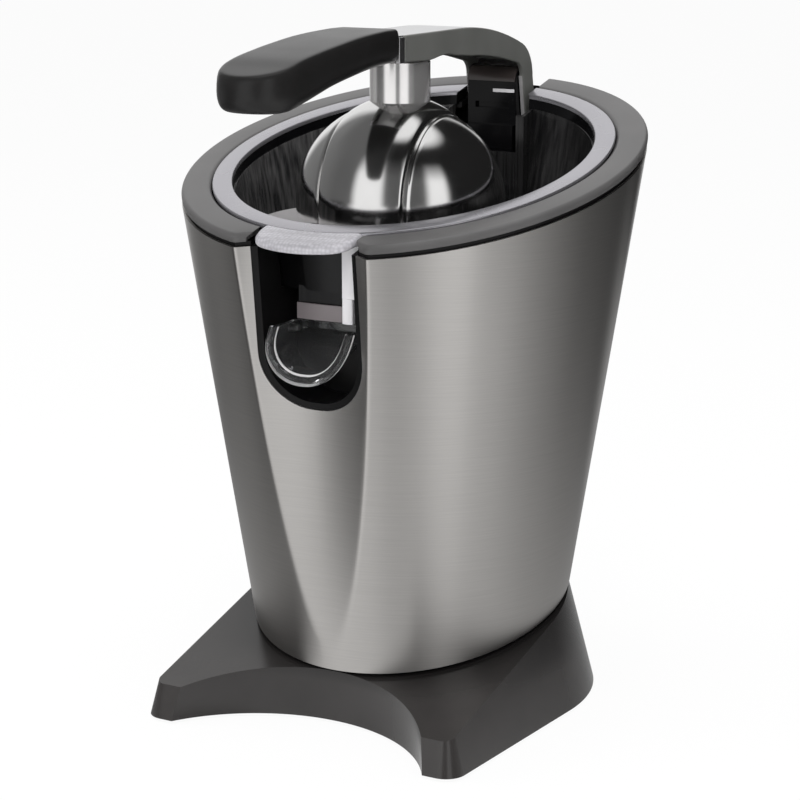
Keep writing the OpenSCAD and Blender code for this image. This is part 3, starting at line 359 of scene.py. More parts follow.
RECIPES = {
    "brushed_steel": brushed,
    "polished_steel": polished((0.78, 0.775, 0.77), 1.0),
    "stem_chrome": polished((0.88, 0.865, 0.86), 0.82),
    "base_grey": pedestal_paint,
    "ring_grey": moulded((0.085, 0.083, 0.083), 0.38, 0.4, 0.012),
    "silver_plastic": silvered,
    "silver_plate": metal((0.8, 0.8, 0.81), 0.34, (1, 0.03, 1), 0.4, 0.006),
    "arm_paint": moulded((0.14, 0.142, 0.134), 0.34, 0.3, 0.008),
    "handle_black": moulded((0.013, 0.0125, 0.0125), 0.32, 0.6, 0.02, shine=0.3),
    "black_gloss": moulded((0.0035, 0.0035, 0.004), 0.14, 0.5, 0.001, shine=0.16),
    "black_plastic": moulded((0.007, 0.0068, 0.007), 0.3, 0.5, 0.006, shine=0.16),
    "clear_plastic": clear,
    "painted_lip_highlight": lip_highlight_finish,
    "rubber": moulded((0.02, 0.02, 0.02), 0.8, 0.8, 0.05),
    "plain_steel": metal((0.6, 0.6, 0.6), 0.3, (1, 1, 0.1), 0.5, 0.004),
    "gear_plastic": moulded((0.75, 0.72, 0.62), 0.45, 0.5, 0.01),
    "bronze": metal((0.55, 0.36, 0.18), 0.36, (1, 1, 0.2), 0.6, 0.006),
    "dotted_silver": dotted,
    # Pale finish for bars that are painted highlights
    "painted_highlight_pale": moulded((0.82, 0.81, 0.83), 0.3, 0.5, 0.004, drift=0.04),
    "outlet_grey": moulded((0.17, 0.15, 0.155), 0.12, 0.5, 0.002),
    "flange_grey": moulded((0.4, 0.39, 0.395), 0.25, 0.5, 0.002),
    # Brown of the tower's top: a painted reflection of the arm above it
    "tower_top_reflection": moulded((0.045, 0.037, 0.035), 0.25, 0.5, 0.004),
    "smoked_bowl": smoked,
    "motor_iron": metal((0.28, 0.28, 0.29), 0.5, (1, 1, 0.5), 0.8, 0.02),
}
FINISHES = {name: finish_of(name, recipe) for name, recipe in RECIPES.items()}


# Mesh making

TURN_STEPS, EDGE_STEPS = 96, 3
WELD, SLIVER = 2e-6, 1e-6


class Form:
    """Points and faces of one piece, gathered skin by skin."""

    def __init__(self):
        self.points, self.faces = [], []

    def skin(self, rows, loop=True, caps=True):
        """Faces between rows of points that have the same count; caps close the first and last loop."""
        start, wide = len(self.points), len(rows[0])
        for row in rows:
            self.points += [spot(*p) for p in row]
        for i in range(len(rows) - 1):
            for j in range(wide if loop else wide - 1):
                a, b = start + i * wide + j, start + i * wide + (j + 1) % wide
                self.faces.append((a, b, b + wide, a + wide))
        if loop and caps:
            last = start + (len(rows) - 1) * wide
            self.faces.append(tuple(range(start + wide - 1, start - 1, -1)))
            self.faces.append(tuple(range(last, last + wide)))
        return self

    def turned(self, profile, centre_y):
        """A profile of radius and height turned about an upright axis; its ends are closed."""
        rows = [[(r * math.sin(t), centre_y - r * math.cos(t), z) for t in circle(TURN_STEPS)]
                for r, z in profile]
        return self.skin(rows)


def piece(name, form, slot, body, replaced=(), crisp=32, thick=0, bevel=0, closed=True, finish=None, even=True):
    """The form as a mesh that rides on a body and stands for CAD nodes.

    crisp is the angle in degrees past which an edge stays sharp. thick is a wall's size in millimetres, and bevel an
    edge's.
    """
    mesh = bpy.data.meshes.new(name)
    mesh.from_pydata(form.points, [], form.faces)
    work = bmesh.new()
    work.from_mesh(mesh)
    bmesh.ops.remove_doubles(work, verts=work.verts, dist=WELD)
    bmesh.ops.dissolve_degenerate(work, edges=work.edges, dist=SLIVER)
    if closed:
        bmesh.ops.recalc_face_normals(work, faces=work.faces)
    for face in work.faces:
        face.smooth = True
    work.to_mesh(mesh)
    work.free()
    mesh.set_sharp_from_angle(angle=math.radians(crisp))
    if thick:
        faces_at = [0] * len(mesh.edges)
        for loop in mesh.loops:
            faces_at[loop.edge_index] += 1
        for edge in mesh.edges:
            edge.use_edge_sharp = edge.use_edge_sharp or faces_at[edge.index] == 1
    made = bpy.data.objects.new(name, mesh)
    bpy.context.scene.collection.objects.link(made)
    mesh.materials.append(FINISHES[finish or slot])
    if thick:
        shell = made.modifiers.new("wall", "SOLIDIFY")
        shell.thickness, shell.offset = thick / 1000, -1
        shell.use_even_offset = even
    if bevel:
        edge = made.modifiers.new("eased_edges", "BEVEL")
        edge.width, edge.segments = bevel / 1000, EDGE_STEPS
        edge.limit_method, edge.angle_limit = "ANGLE", math.radians(crisp)
        edge.harden_normals = True
    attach(made, body)
    if replaced:
        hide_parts(*replaced)
    return made


# Steel body

TONGUE = NOTCH_HALF - NOTCH_CORNER
CREASE_MIN, CREASE_MAX, CREASE_EASE, CREASE_BLEND = TONGUE + 2, 50, 1.2, 0.5
FRONT_GUESS = -90
REAR_DRAW, REAR_DRAW_LOW, REAR_DRAW_TALL = 0.0095, 150, 127
SCOOP_SHARES = (0, 0.12, 0.25, 0.4, 0.55, 0.7, 0.82, 0.9, 0.96, 1)
SEAL_IN, SEAL_T, SEAL_GAP = 0.25, 3, 0.03


def wall_r(z):
    """Radius of the flared wall at a height."""
    return BODY_R + (z - BODY_LOW) * FLARE


def scoop_y(x, z):
    """How far forward the scoop's hollow lies at a height, off the middle by x."""
    s, c = math.sin(SCOOP_LEAN), math.cos(SCOOP_LEAN)
    up = z - BODY_LOW
    across, reach = -up * s, SCOOP_R - SCOOP_TAPER * up * c
    qa = c * c - (SCOOP_TAPER * s) ** 2
    qb = c * across + SCOOP_TAPER * s * reach
    qc = across * across + x * x - reach * reach
    return -BODY_R - SCOOP_REACH + (-qb + math.sqrt(max(qb * qb - qa * qc, 0))) / qa


def cone_y(x, z):
    return -math.sqrt(wall_r(z) ** 2 - x * x)


def front_y(x, z):
    """How far forward the body's front lies, with the scoop's crease eased."""
    return soft_max(cone_y(x, z), scoop_y(x, z), CREASE_BLEND)


def front_point(x, plane, inset=0):
    """Point of the body's front on a sloped plane."""
    y = FRONT_GUESS
    for _ in range(6):
        y = front_y(x, plane + SLOPE * y) + inset
    return (x, y, plane + SLOPE * y)


def crease(plane):
    """Half width of the scoop on a sloped plane."""
    low, high = 0, CREASE_MAX
    for _ in range(30):
        x = (low + high) / 2
        z = front_point(x, plane)[2]
        if scoop_y(x, z) > cone_y(x, z):
            low = x
        else:
            high = x
    return low


def cone_r(turn, plane, inset):
    """Radius of the cone's cut by a sloped plane, turned from the front."""
    return (wall_r(plane) - inset) / (1 + FLARE * SLOPE * math.cos(turn))


def on_cone(turn, plane, inset):
    """Point of the cone on a sloped plane, turned from the front."""
    r = cone_r(turn, plane, inset)
    y = -r * math.cos(turn)
    return (r * math.sin(turn), y, plane + SLOPE * y)


def turn_at(x, plane, inset, back=False):
    """Turn from the front at which the cone's cut is off the middle by x."""
    turn = math.pi if back else 0
    for _ in range(12):
        turn = math.asin(x / cone_r(turn, plane, inset))
        if back:
            turn = math.pi - turn
    return turn


def plane_of(x, z):
    """The sloped plane through the body's front at a place and height."""
    return z - SLOPE * front_y(x, z)


def rear_eased(point):
    """The point, drawn in a little towards the top of the back."""
    x, y, z = point
    drawn = REAR_DRAW * min(max((z - REAR_DRAW_LOW) / REAR_DRAW_TALL, 0), 1)
    return (x, y * (1 - drawn) if y > 0 else y, z)


def steel_row(plane, notch, inset=0):
    """One line round the body on a sloped plane, from the notch's right edge to its left edge."""
    edge = max(crease(plane), CREASE_MIN)
    front = [front_point(mix(notch, edge, s), plane, inset) for s in SCOOP_SHARES]
    front += [front_point(edge + CREASE_EASE * k, plane, inset) for k in (0.3, 0.7, 1.2)]
    start = turn_at(front[-1][0], plane, inset)
    right = front + [rear_eased(on_cone(t, plane, inset)) for t in spread(start, math.pi, 64)[1:]]
    return right + flipped(reversed(right[:-1]))


def steel_body():
    """Lines round the body up to the notch and beside it, and the tongue of steel below the notch."""
    low_planes = spread(BODY_LOW, plane_of(TONGUE, NOTCH_LOW), 36)
    rows = [steel_row(p, TONGUE) for p in low_planes]
    tongue = [[front_point(x, p) for x in spread(-TONGUE, TONGUE, 8)] for p in low_planes]
    for x, z in arc((TONGUE, NOTCH_LOW + NOTCH_CORNER), NOTCH_CORNER, -90, 0, 12)[1:]:
        rows.append(steel_row(plane_of(x, z), x))
    start = plane_of(NOTCH_HALF, NOTCH_LOW + NOTCH_CORNER)
    rows += [steel_row(p, NOTCH_HALF) for p in spread(start, BODY_TOP, 18)[1:]]
    form = Form().skin([list(reversed(r)) for r in rows], loop=False)
    return form.skin([list(reversed(r)) for r in tongue], loop=False)


def seal_form():
    planes = spread(BODY_TOP + SEAL_GAP, RING_LOW - SEAL_GAP, 3)
    return Form().skin([steel_row(p, NOTCH_HALF, SEAL_IN) for p in planes], loop=False)


piece("steel_body", steel_body(), "brushed_steel", "housing", ("steel_shell",), crisp=60, thick=STEEL_T, closed=False)
piece("ring_seal", seal_form(), "black_plastic", "housing", ("ring_gasket",), crisp=60, thick=SEAL_T, closed=False)


# Dark ring and silver rim on the sloped top

RING_EDGE_R, RING_END_R, RING_GAP = 2.2, 3, 0.5
RIM_TOP, RIM_LIP, RIM_EDGE_R, RIM_END_R = RIM_PLANE + RIM_PROUD, 2, 0.8, 1.5
SKIRT_OUT, SKIRT_IN, SKIRT_LOW = RIM_INSET + 0.05, BOWL_INSET - 0.3, BODY_TOP + 0.2
NOSE_CORNER, NOSE_BACK, NOSE_TOP = 7, RIM_INSET + 0.8, RIM_TOP - 0.1
NOSE_TOP_R, NOSE_LOW_R = 2.4, 1.4
OUTER_EDGE, SCOOP_SIDE = 3, 45


def rounded_section(inner, outer, low, high, r, count):
    """Section of a rim as inset and plane, with rounded upper edges."""
    corner = [(r * (1 - math.sin(t)), r * (1 - math.cos(t))) for t in spread(0, math.pi / 2, count)]
    outer_top = [(outer + a, high - b) for a, b in reversed(corner)]
    inner_top = [(inner - a, high - b) for a, b in corner]
    return [(outer, low)] + outer_top + inner_top + [(inner, low)]


def scooped(point, plane, inset):
    """The point, moved back where the scoop cuts into the rim's outer edge."""
    x, y, _ = point
    if inset < OUTER_EDGE and y < 0 and abs(x) < SCOOP_SIDE:
        for _ in range(5):
            y = max(point[1], scoop_y(x, plane + SLOPE * y) + inset)
    return (x, y, plane + SLOPE * y)


def rim_sweep(section, front_x, end_r):
    """The section swept from the front end to the rear end on the +X side, ends rounded in plan."""
    insets = [s[0] for s in section]
    mid, half = (min(insets) + max(insets)) / 2, (max(insets) - min(insets)) / 2
    ends = []
    for inset, plane in section:
        off = max(abs(inset - mid) - (half - end_r), 0)
        back = end_r - math.sqrt(max(end_r ** 2 - off ** 2, 0))
        ends.append((turn_at(front_x + back, plane, inset), turn_at(REAR_HALF + back, plane, inset, True)))
    return [[scooped(on_cone(mix(a, b, share), plane, inset), plane, inset)
             for (a, b), (inset, plane) in zip(ends, section)] for share in spread(0, 1, 120)]


def ring_form():
    """Two halves, open at the nose and at the hinge."""
    section = rounded_section(RING_W, -RING_OVER, RING_LOW, RIM_PLANE, RING_EDGE_R, 6)
    rows = rim_sweep(section, NOSE_HALF + RING_GAP, RING_END_R)
    return Form().skin(rows).skin([flipped(row) for row in rows])


def whole_rim(section):
    """The section swept round the bowl, open at the hinge."""
    rows = rim_sweep(section, 0, RIM_END_R)
    return Form().skin([flipped(row) for row in reversed(rows)] + rows[1:])


def nose_loop(inset, plane):
    """Edge of the pouring nose on a sloped plane, drawn in all round by the inset."""
    half = NOSE_HALF - inset
    edge = []
    for x in spread(-half, half, 40):
        corner = max(abs(x) - (half - NOSE_CORNER), 0)
        y = NOSE_R - NOSE_REACH - math.sqrt((NOSE_R - inset) ** 2 - x * x)
        y += NOSE_CORNER - math.sqrt(max(NOSE_CORNER ** 2 - corner * corner, 0))
        edge.append((x, y, plane + SLOPE * y))
    back = turn_at(half, plane, NOSE_BACK)
    return edge + [on_cone(t, plane, NOSE_BACK) for t in spread(back, -back, 28)]


def nose_form():
    """Loops from the nose's underside up to its top plane, with a bull-nosed front."""
    quarter = [(1 - math.sin(t), 1 - math.cos(t)) for t in spread(0, math.pi / 2, 5)]
    under = [nose_loop(NOSE_LOW_R * a, NOSE_LOW + NOSE_LOW_R * b) for a, b in quarter]
    upper = [nose_loop(NOSE_TOP_R * a, NOSE_TOP - NOSE_TOP_R * b) for a, b in reversed(quarter)]
    return Form().skin(under + upper)


rim_section = rounded_section(BOWL_INSET, RIM_INSET, RIM_TOP - RIM_LIP, RIM_TOP, RIM_EDGE_R, 4)
skirt_section = [(SKIRT_OUT, SKIRT_LOW), (SKIRT_OUT, RIM_TOP - RIM_LIP), (SKIRT_IN, RIM_TOP - RIM_LIP),
                 (SKIRT_IN, SKIRT_LOW)]
piece("top_ring_cover", ring_form(), "ring_grey", "housing", ("top_ring",), bevel=0.5)
piece("bowl_rim_cover", whole_rim(rim_section), "silver_plastic", "housing", ("bowl_rim",), bevel=0.3)
piece("pouring_nose", nose_form(), "silver_plastic", "housing", bevel=0.2, finish="dotted_silver")
piece("rim_skirt", whole_rim(skirt_section), "black_gloss", "housing")


# Pedestal

TANGENT = math.atan2(-TOE_Y, TOE_X) + math.acos((BASE_R - TOE_R) / math.hypot(TOE_X, TOE_Y))
BASE_OPEN_R, BASE_WALL, BASE_EDGE = 58, 2.4, 2
WALL_STEPS, TOP_SHARES = 8, (0.2, 0.45, 0.7, 0.9, 1)


def foot_side(part, share, z):
    """Place on the +X side of the pedestal's wall at a height; parts run from the arch round to the back."""
    toe, back = TOE_R - BASE_DRAFT * z, BASE_R - BASE_DRAFT * z
    front = -TOE_Y - toe
    inner = math.sqrt(ARCH_R ** 2 - (front + ARCH_Y + ARCH_R) ** 2)
    n = (math.cos(TANGENT), math.sin(TANGENT))
    if part == "arch":
        turn = share * math.atan2(inner, front + ARCH_Y + ARCH_R)
        return ARCH_R * math.sin(turn), -ARCH_Y - ARCH_R + ARCH_R * math.cos(turn)
    if part == "toe_front":
        return mix(inner, TOE_X, share), front
    if part == "toe":
        t = mix(-math.pi / 2, TANGENT, share)
        return TOE_X + toe * math.cos(t), -TOE_Y + toe * math.sin(t)
    if part == "flank":
        return mix(TOE_X + toe * n[0], back * n[0], share), mix(-TOE_Y + toe * n[1], back * n[1], share)
    t = mix(TANGENT, math.pi / 2, share)
    return back * math.cos(t), back * math.sin(t)


def foot_stations():
    """Parts and shares once round the pedestal from the middle of the arch, with the side."""
    right = []
    for part, count in (("arch", 36), ("toe_front", 5), ("toe", 24), ("flank", 14), ("back", 40)):
        right += [(part, share, 1) for share in spread(0, 1, count)[1 if right else 0:]]
    return right + [(part, share, -1) for part, share, _ in reversed(right[1:-1])]


def pedestal():
    """Rows up the wall and over the sloped top to its opening under the body."""
    columns = []
    for part, share, side in foot_stations():
        top = BASE_TOP
        for _ in range(12):
            top = BASE_TOP + SLOPE * foot_side(part, share, top)[1]
        column = []
        for z in spread(BASE_LOW, top, WALL_STEPS):
            x, y = foot_side(part, share, z)
            column.append((side * x, y, z))
        ex, ey, _ = column[-1]
        away = math.hypot(ex, ey)
        for inward in TOP_SHARES:
            x, y = mix(ex, ex / away * BASE_OPEN_R, inward), mix(ey, ey / away * BASE_OPEN_R, inward)
            column.append((x, y, BASE_TOP + SLOPE * y))
        columns.append(column)
    return Form().skin(list(zip(*columns)), caps=False)


piece("pedestal", pedestal(), "base_grey", "housing", ("base_foot",), crisp=30, thick=BASE_WALL, bevel=BASE_EDGE)


# Lever: grip, arm, plate, stem and dome

# Grip's top, underside and half width along it
GRIP_TOP = [(-144.3, 302.6), (-132, 305.6), (-120, 308.7), (-104, 311.2), (-94, 312.5), (-72, 314.9), (-49, 316.1),
            (-37.5, 316.15)]
GRIP_LOW = [(-144.3, 287.6), (-132, 287.4), (-119.6, 289.6), (-107, 292.5), (-94, 295.4), (-71, 298.7), (-55, 300.3),
            (-37.5, 301.1)]
GRIP_WIDE = [(-144.3, 18.5), (-95, 18.5), (-78, 18.1), (-58, 17), (-37.5, 15.68)]
GRIP_TOP_POWER, GRIP_LOW_POWER = 26, 10


def grip_form():
    """Slices along the grip; towards the tip they close in on a half circle, and their edges round with it."""
    centre = -GRIP_TIP + GRIP_TIP_R
    tip = [centre - GRIP_TIP_R * math.sin(t) for t in spread(math.pi / 2, 0, 18)]
    shares = [math.sin(math.pi / 2 * s) for s in spread(-1, 1, 28)]
    rows = []
    for y in tip + spread(centre, -GRIP_JOINT, 44)[1:]:
        top, low, wide = through(GRIP_TOP, y), through(GRIP_LOW, y), through(GRIP_WIDE, y)
        ahead = max(centre - y, 0) / GRIP_TIP_R
        reach = wide * math.sqrt(max(1 - ahead * ahead, 0))
        mid = low + (top - low) * 0.5
        upper, lower = [], []
        for s in shares:
            x = s * reach
            out = min(math.hypot(x / wide, ahead), 1)
            upper.append((x, y, mid + (top - mid) * (1 - out ** GRIP_TOP_POWER) ** 0.5))
            lower.append((x, y, mid - (mid - low) * (1 - out ** GRIP_LOW_POWER) ** 0.5))
        rows.append(upper + list(reversed(lower[1:-1])))
    return Form().skin(rows)


piece("handle", grip_form(), "handle_black", "lever", ("handle_grip",), crisp=60, bevel=0.4)

ARM_BEND_Y, ARM_BEND_R, ARM_CORNER_R = 22, 190, 18
SEAM_FRONT, SEAM_BACK = -37.25, -32.4
ARM_TURN = math.degrees(math.asin((HINGE_Y - 4.5 - ARM_BEND_Y) / ARM_BEND_R))
BEND_C = (ARM_BEND_Y, ARM_TOP - ARM_BEND_R)
CORNER_C = (BEND_C[0] + (ARM_BEND_R - ARM_CORNER_R) * math.sin(math.radians(ARM_TURN)),
            BEND_C[1] + (ARM_BEND_R - ARM_CORNER_R) * math.cos(math.radians(ARM_TURN)))
ARM_LOW, LEG_LOW, LEG_BACK = 300.7, HINGE_Z - 28, HINGE_Y + 10.5
LEG_KNEE, LEG_SWEEP, LEG_FRONT = HINGE_Z - 14, 3.5, HINGE_Y + 1.3
INNER_C, INNER_R, INNER_TURN = (HINGE_Y - 11, HINGE_Z + 3), 7, 75
PLATE_T, PLATE_IN, WEB_T = 1.2, 1.1, 2.2
# Stretches of the arm's lines that the web, the plate and the pale strips of painted highlight on the legs take up
WEB_ROWS, PLATE_ROWS, LEG_ROWS = slice(36), slice(41), slice(-13, -3)
SEAM_LOW, SEAM_HIGH = 300.9, 312.4
ARM_UNDER = [(-33, 301.2), (-20, 300.8), (-8.5, 300.4), (6, 302), (17, 300.9), (30, 299.7), (43, 298.9), (58, 297.2),
             (74.8, 294), (81, 292.5)]


def arm_upper(depth, start=SEAM_FRONT):
    """Line along the arm's top, round its rear corner and down its back, sunk by depth."""
    flat = [(y, ARM_TOP - depth) for y in spread(start, ARM_BEND_Y, 12)[:-1]]
    bend = arc(BEND_C, ARM_BEND_R - depth, 90, 90 - ARM_TURN, 12)[:-1]
    corner = arc(CORNER_C, ARM_CORNER_R - depth, 90 - ARM_TURN, 0, 20)
    rear = corner[-1][0]
    knee = rear + LEG_SWEEP
    leg = [(mix(rear, knee, s), mix(CORNER_C[1], LEG_KNEE, s)) for s in spread(0, 1, 6)[1:]]
    tip = [(mix(knee, LEG_BACK, s), mix(LEG_KNEE, LEG_LOW, s)) for s in spread(0, 1, 6)[1:]]
    return flat + bend + corner + leg + tip


def arm_lower():
    """Line along the arm's underside with as many places as its top line."""
    bend = INNER_C[0] + INNER_R * math.cos(math.radians(INNER_TURN))
    straight = [(y, through(ARM_UNDER, y)) for y in spread(SEAM_BACK, bend, 24)[:-1]]
    corner = arc(INNER_C, INNER_R, INNER_TURN, 0, 20)
    rear, low = corner[-1]
    leg = [(mix(rear, LEG_FRONT, s), mix(low, LEG_LOW, s)) for s in spread(0, 1, 12)[1:]]
    return straight + corner + leg


def arm_form():
    """Two side walls from the seam down to the hinge, and the web between them under the plate."""
    form = Form()
    wide = ARM_HALF - ARM_WALL
    for side in (-1, 1):
        x0, x1 = side * wide, side * ARM_HALF
        rows = []
        for (uy, uz), (ly, lz) in zip(arm_upper(0, SEAM_BACK), arm_lower()):
            my, mz = mix(ly, uy, 0.5), mix(lz, uz, 0.5)
            rows.append([(x0, ly, lz), (x1, ly, lz), (x1, my, mz), (x1, uy, uz), (x0, uy, uz), (x0, my, mz)])
        form.skin(rows)
    web = zip(arm_upper(PLATE_T)[WEB_ROWS], arm_upper(PLATE_T + WEB_T)[WEB_ROWS])
    return form.skin([[(-wide, *a), (wide, *a), (wide, *b), (-wide, *b)] for a, b in web])


piece("arm_channel", arm_form(), "arm_paint", "lever", ("lever_arm",), crisp=40, bevel=0.7)


def leg_edges():
    """Pale strips down the front of both legs: painted highlights on their edges."""
    form = Form()
    for side in (-1, 1):
        x0, x1 = side * (ARM_HALF - ARM_WALL + 0.1), side * (ARM_HALF - 0.5)
        form.skin([[(x0, y - 0.3, z), (x1, y - 0.3, z), (x1, y + 0.4, z), (x0, y + 0.4, z)]
                   for y, z in arm_lower()[LEG_ROWS]])
    return form


# Painted highlight: pale strips down the legs' front edges.
piece("leg_edges", leg_edges(), "silver_plate", "lever", crisp=40, finish="flange_grey")


def plate_form():
    """The plate along the arm's top, and the bright ends of both walls at the grip."""
    wide = ARM_HALF - PLATE_IN
    lines = zip(arm_upper(-0.05)[PLATE_ROWS], arm_upper(PLATE_T - 0.1)[PLATE_ROWS])
    form = Form().skin([[(-wide, *b), (-wide, *a), (0, *a), (wide, *a), (wide, *b)] for a, b in lines])
    for side in (-1, 1):
        x0, x1 = side * (ARM_HALF - ARM_WALL + 0.05), side * (ARM_HALF - 0.05)
        form.skin([[(x0, y, SEAM_LOW), (x1, y, SEAM_LOW), (x1, y, SEAM_HIGH), (x0, y, SEAM_HIGH)]
                   for y in (SEAM_FRONT, SEAM_BACK - 0.05)])
    return form


piece("arm_plate", plate_form(), "silver_plate", "lever", ("arm_top_plate",), crisp=40, bevel=0.4)

STEM_TOP, STEM_COLLAR, STEM_EDGE = ARM_TOP - PLATE_T - WEB_T - 0.1, ARM_LOW - 0.6, 0.6
STEM_PROFILE = [(STEM_NECK_R - 2, DOME_TOP - 6), (STEM_R, DOME_TOP - 5.5), (STEM_R, STEM_COLLAR - STEM_EDGE),
                (STEM_R - STEM_EDGE, STEM_COLLAR), (STEM_NECK_R, STEM_COLLAR), (STEM_NECK_R, STEM_TOP)]
piece("press_stem_tube", Form().turned(STEM_PROFILE, -PRESS_Y), "polished_steel", "lever", ("press_stem",), crisp=30,
      finish="stem_chrome")

DOME_BELLY, GROOVE_W, GROOVE_DEEP = 8, 1.3, 1.2
CHEEK_HALF, CHEEK_R, CHEEK_TALL = 50.6, 40.6, 45.5


def dome_slice(x, sunk):
    """Depth and height of the dome's slice off the middle by x: the raised band, or a cheek beside it."""
    if sunk < BAND_STEP:
        wide = math.sqrt(1 - (x / DOME_R) ** 2)
        return (DOME_R - sunk) * wide, (DOME_TOP - DOME_LOW - DOME_BELLY - sunk) * wide
    wide = math.sqrt(max(1 - (x / CHEEK_HALF) ** 2, 0))
    deeper = sunk - BAND_STEP
    return max(CHEEK_R * wide - deeper, 0), max(CHEEK_TALL * wide - deeper, 0)


def dome_form():
    """Slices across the dome, dense at the two grooves beside the raised band."""
    edge, groove, deep = BAND_HALF, BAND_HALF + GROOVE_W, BAND_STEP + GROOVE_DEEP
    cheek = groove + 1
    places = [(x, 0) for x in spread(0, edge - 1.2, 14)]
    places += [(edge - 0.7, 0.08), (edge - 0.3, 0.3), (edge, 0.8), (edge + 0.1, deep), (groove, deep),
               (groove + 0.35, BAND_STEP + 0.3), (cheek, BAND_STEP)]
    places += [(cheek + (CHEEK_HALF - cheek) * math.sin(t), BAND_STEP) for t in spread(0, math.pi / 2, 28)[1:]]
    belly = spread(DOME_LOW, DOME_LOW + DOME_BELLY, 4)
    rows = []
    for x, sunk in [(-x, s) for x, s in reversed(places[1:])] + places:
        half, tall = dome_slice(x, sunk)
        upper = [(x, half * math.cos(t) - PRESS_Y, belly[-1] + tall * math.sin(t)) for t in spread(0, math.pi, 64)]
        back = [(x, half - PRESS_Y, z) for z in belly[:-1]]
        front = [(x, -half - PRESS_Y, z) for z in reversed(belly[:-1])]
        rows.append(back + upper + front)
    return Form().skin(rows, loop=False)


piece("press_dome", dome_form(), "polished_steel", "lever", ("dome_shell",), crisp=40, thick=DOME_T, even=False)


# Clear spout

SPOUT_FLOOR = [(-98, 165.5), (-93, 168.4), (-88, 172.6), (-83, 177), (-77, 180.6), (-65, 182.4)]
LIP_LEAN = 8
# Sections of the trough as place and lean, and of the lip's bead as way back from the lip, outward and inward swelling
TROUGH = ((-SPOUT_BACK, 0), (-72, 0), (-79, 0), (-85, 1.5), (-90, 5))
BEAD = ((4.4, 0, 0), (3.7, 0.25, 0.2), (3, 0.65, 0.7), (2, 0.9, 1.1), (1, 0.8, 0.9), (0.35, 0.45, 0.3), (0, -0.3, -0.8))
# Lines of painted highlight as their outer and inner skin about the trough's wall, and the places where they start and
# end
LIP_LINES, LIP_LINE_FRONT, LIP_LINE_BACK = ((1.05, -0.6), (-SPOUT_WALL - 0.8, SPOUT_WALL + 1.25)), 1.5, 2.4


def u_line(half, low, corner, y):
    """Line down the left side of the spout, round its floor and up the right side."""
    left = arc((-half + corner, low + corner), corner, 180, 270, 12)
    right = arc((half - corner, low + corner), corner, 270, 360, 12)
    up = [mix(low + corner, SPOUT_TOP, s) for s in (0.5, 1)]
    return [(-half, y, z) for z in reversed(up)] + [(x, y, z) for x, z in left + right] + [(half, y, z) for z in up]


def spout_section(y, out, wall, lean):
    """Section across the trough, leaning back towards its top."""
    low = through(SPOUT_FLOOR, y)
    corner = min(SPOUT_HALF - 1, SPOUT_TOP - 2.5 - low)
    outer = u_line(SPOUT_HALF + out, low - out, corner + out, y)
    inner = u_line(SPOUT_HALF - wall, low + wall, max(corner - wall, 1), y)
    loop = outer + list(reversed(inner))
    return [(x, py + lean * ((pz - SPOUT_LOW) / (SPOUT_TOP - SPOUT_LOW)) ** 2, pz) for x, py, pz in loop]


def spout_form():
    """The trough with its floor rising to the back, its beaded lip and the wall that closes it at the back."""
    wall = SPOUT_WALL
    rows = [spout_section(y, 0, wall, lean) for y, lean in TROUGH]
    rows += [spout_section(back - SPOUT_FRONT, out, wall + more, LIP_LEAN) for back, out, more in BEAD]
    low = through(SPOUT_FLOOR, -SPOUT_BACK)
    closing = [u_line(SPOUT_HALF - wall, low + wall, 2, y) for y in (-SPOUT_BACK, -SPOUT_BACK - wall)]
    return Form().skin(rows).skin(closing)


def lip_lines():
    """Pale lines of painted highlight on the outer and inner crest of the lip."""
    form = Form()
    for out, wall in LIP_LINES:
        form.skin([spout_section(back - SPOUT_FRONT, out, wall, LIP_LEAN) for back in (LIP_LINE_BACK, LIP_LINE_FRONT)])
    return form


piece("clear_spout", spout_form(), "clear_plastic", "spout", ("drip_spout",), crisp=40, bevel=0.3)
# Painted highlight: pale lines along the spout's lip.
piece("spout_lip_lines", lip_lines(), "clear_plastic", "spout", crisp=40, bevel=0.1, finish="painted_lip_highlight")


# Bars in the outlet and on the tower; the pale ones are painted highlights

OUTLET_LOW = 191.2
STRIP_FRONT, STRIP_BACK = HINGE_Y - 7.1, HINGE_Y - 6.45
CAP_HALF, CAP_IN, CAP_OUT, CAP_START, CAP_END = 12.8, 6.4, 7.8, 35, 178


def upright_bars(*bars):
    """Upright bars with a bowed front, each from its sides, front, back, foot, head and bow."""
    form = Form()
    for x0, x1, front, back, low, high, bow in bars:
        line = [(mix(x0, x1, s), front + bow * (2 * s - 1) ** 2) for s in spread(0, 1, 12)]
        line += [(x1, back), (x0, back)]
        form.skin([[(x, y, z) for x, y in line] for z in (low, high)])
    return form


outlet_highlight_bars = upright_bars((11.15, 16.4, -81.4, -78.4, OUTLET_LOW, 204, 0.5), (11, 19.6, -81.7, -78.2, 202.5, 229, 0.9))
outlet_lip = upright_bars((-13.4, 10.8, -79.4, -77.7, OUTLET_LOW, 198.5, 0.6))
# Painted highlight: a pale strip on the tower's front.
tower_highlight_strip = upright_bars((0.8, 12.4, STRIP_FRONT, STRIP_BACK, 277.8, 279.5, 0.1))
# Painted highlight: a pale bar on the right side of the outlet.
piece("outlet_highlight_bar", outlet_highlight_bars, "silver_plastic", "housing", crisp=50, bevel=0.3, finish="painted_highlight_pale")
piece("outlet_lip", outlet_lip, "clear_plastic", "housing", crisp=50, bevel=0.3, finish="outlet_grey")
piece("tower_highlight_strip", tower_highlight_strip, "plain_steel", "housing", bevel=0.15, finish="painted_highlight_pale")


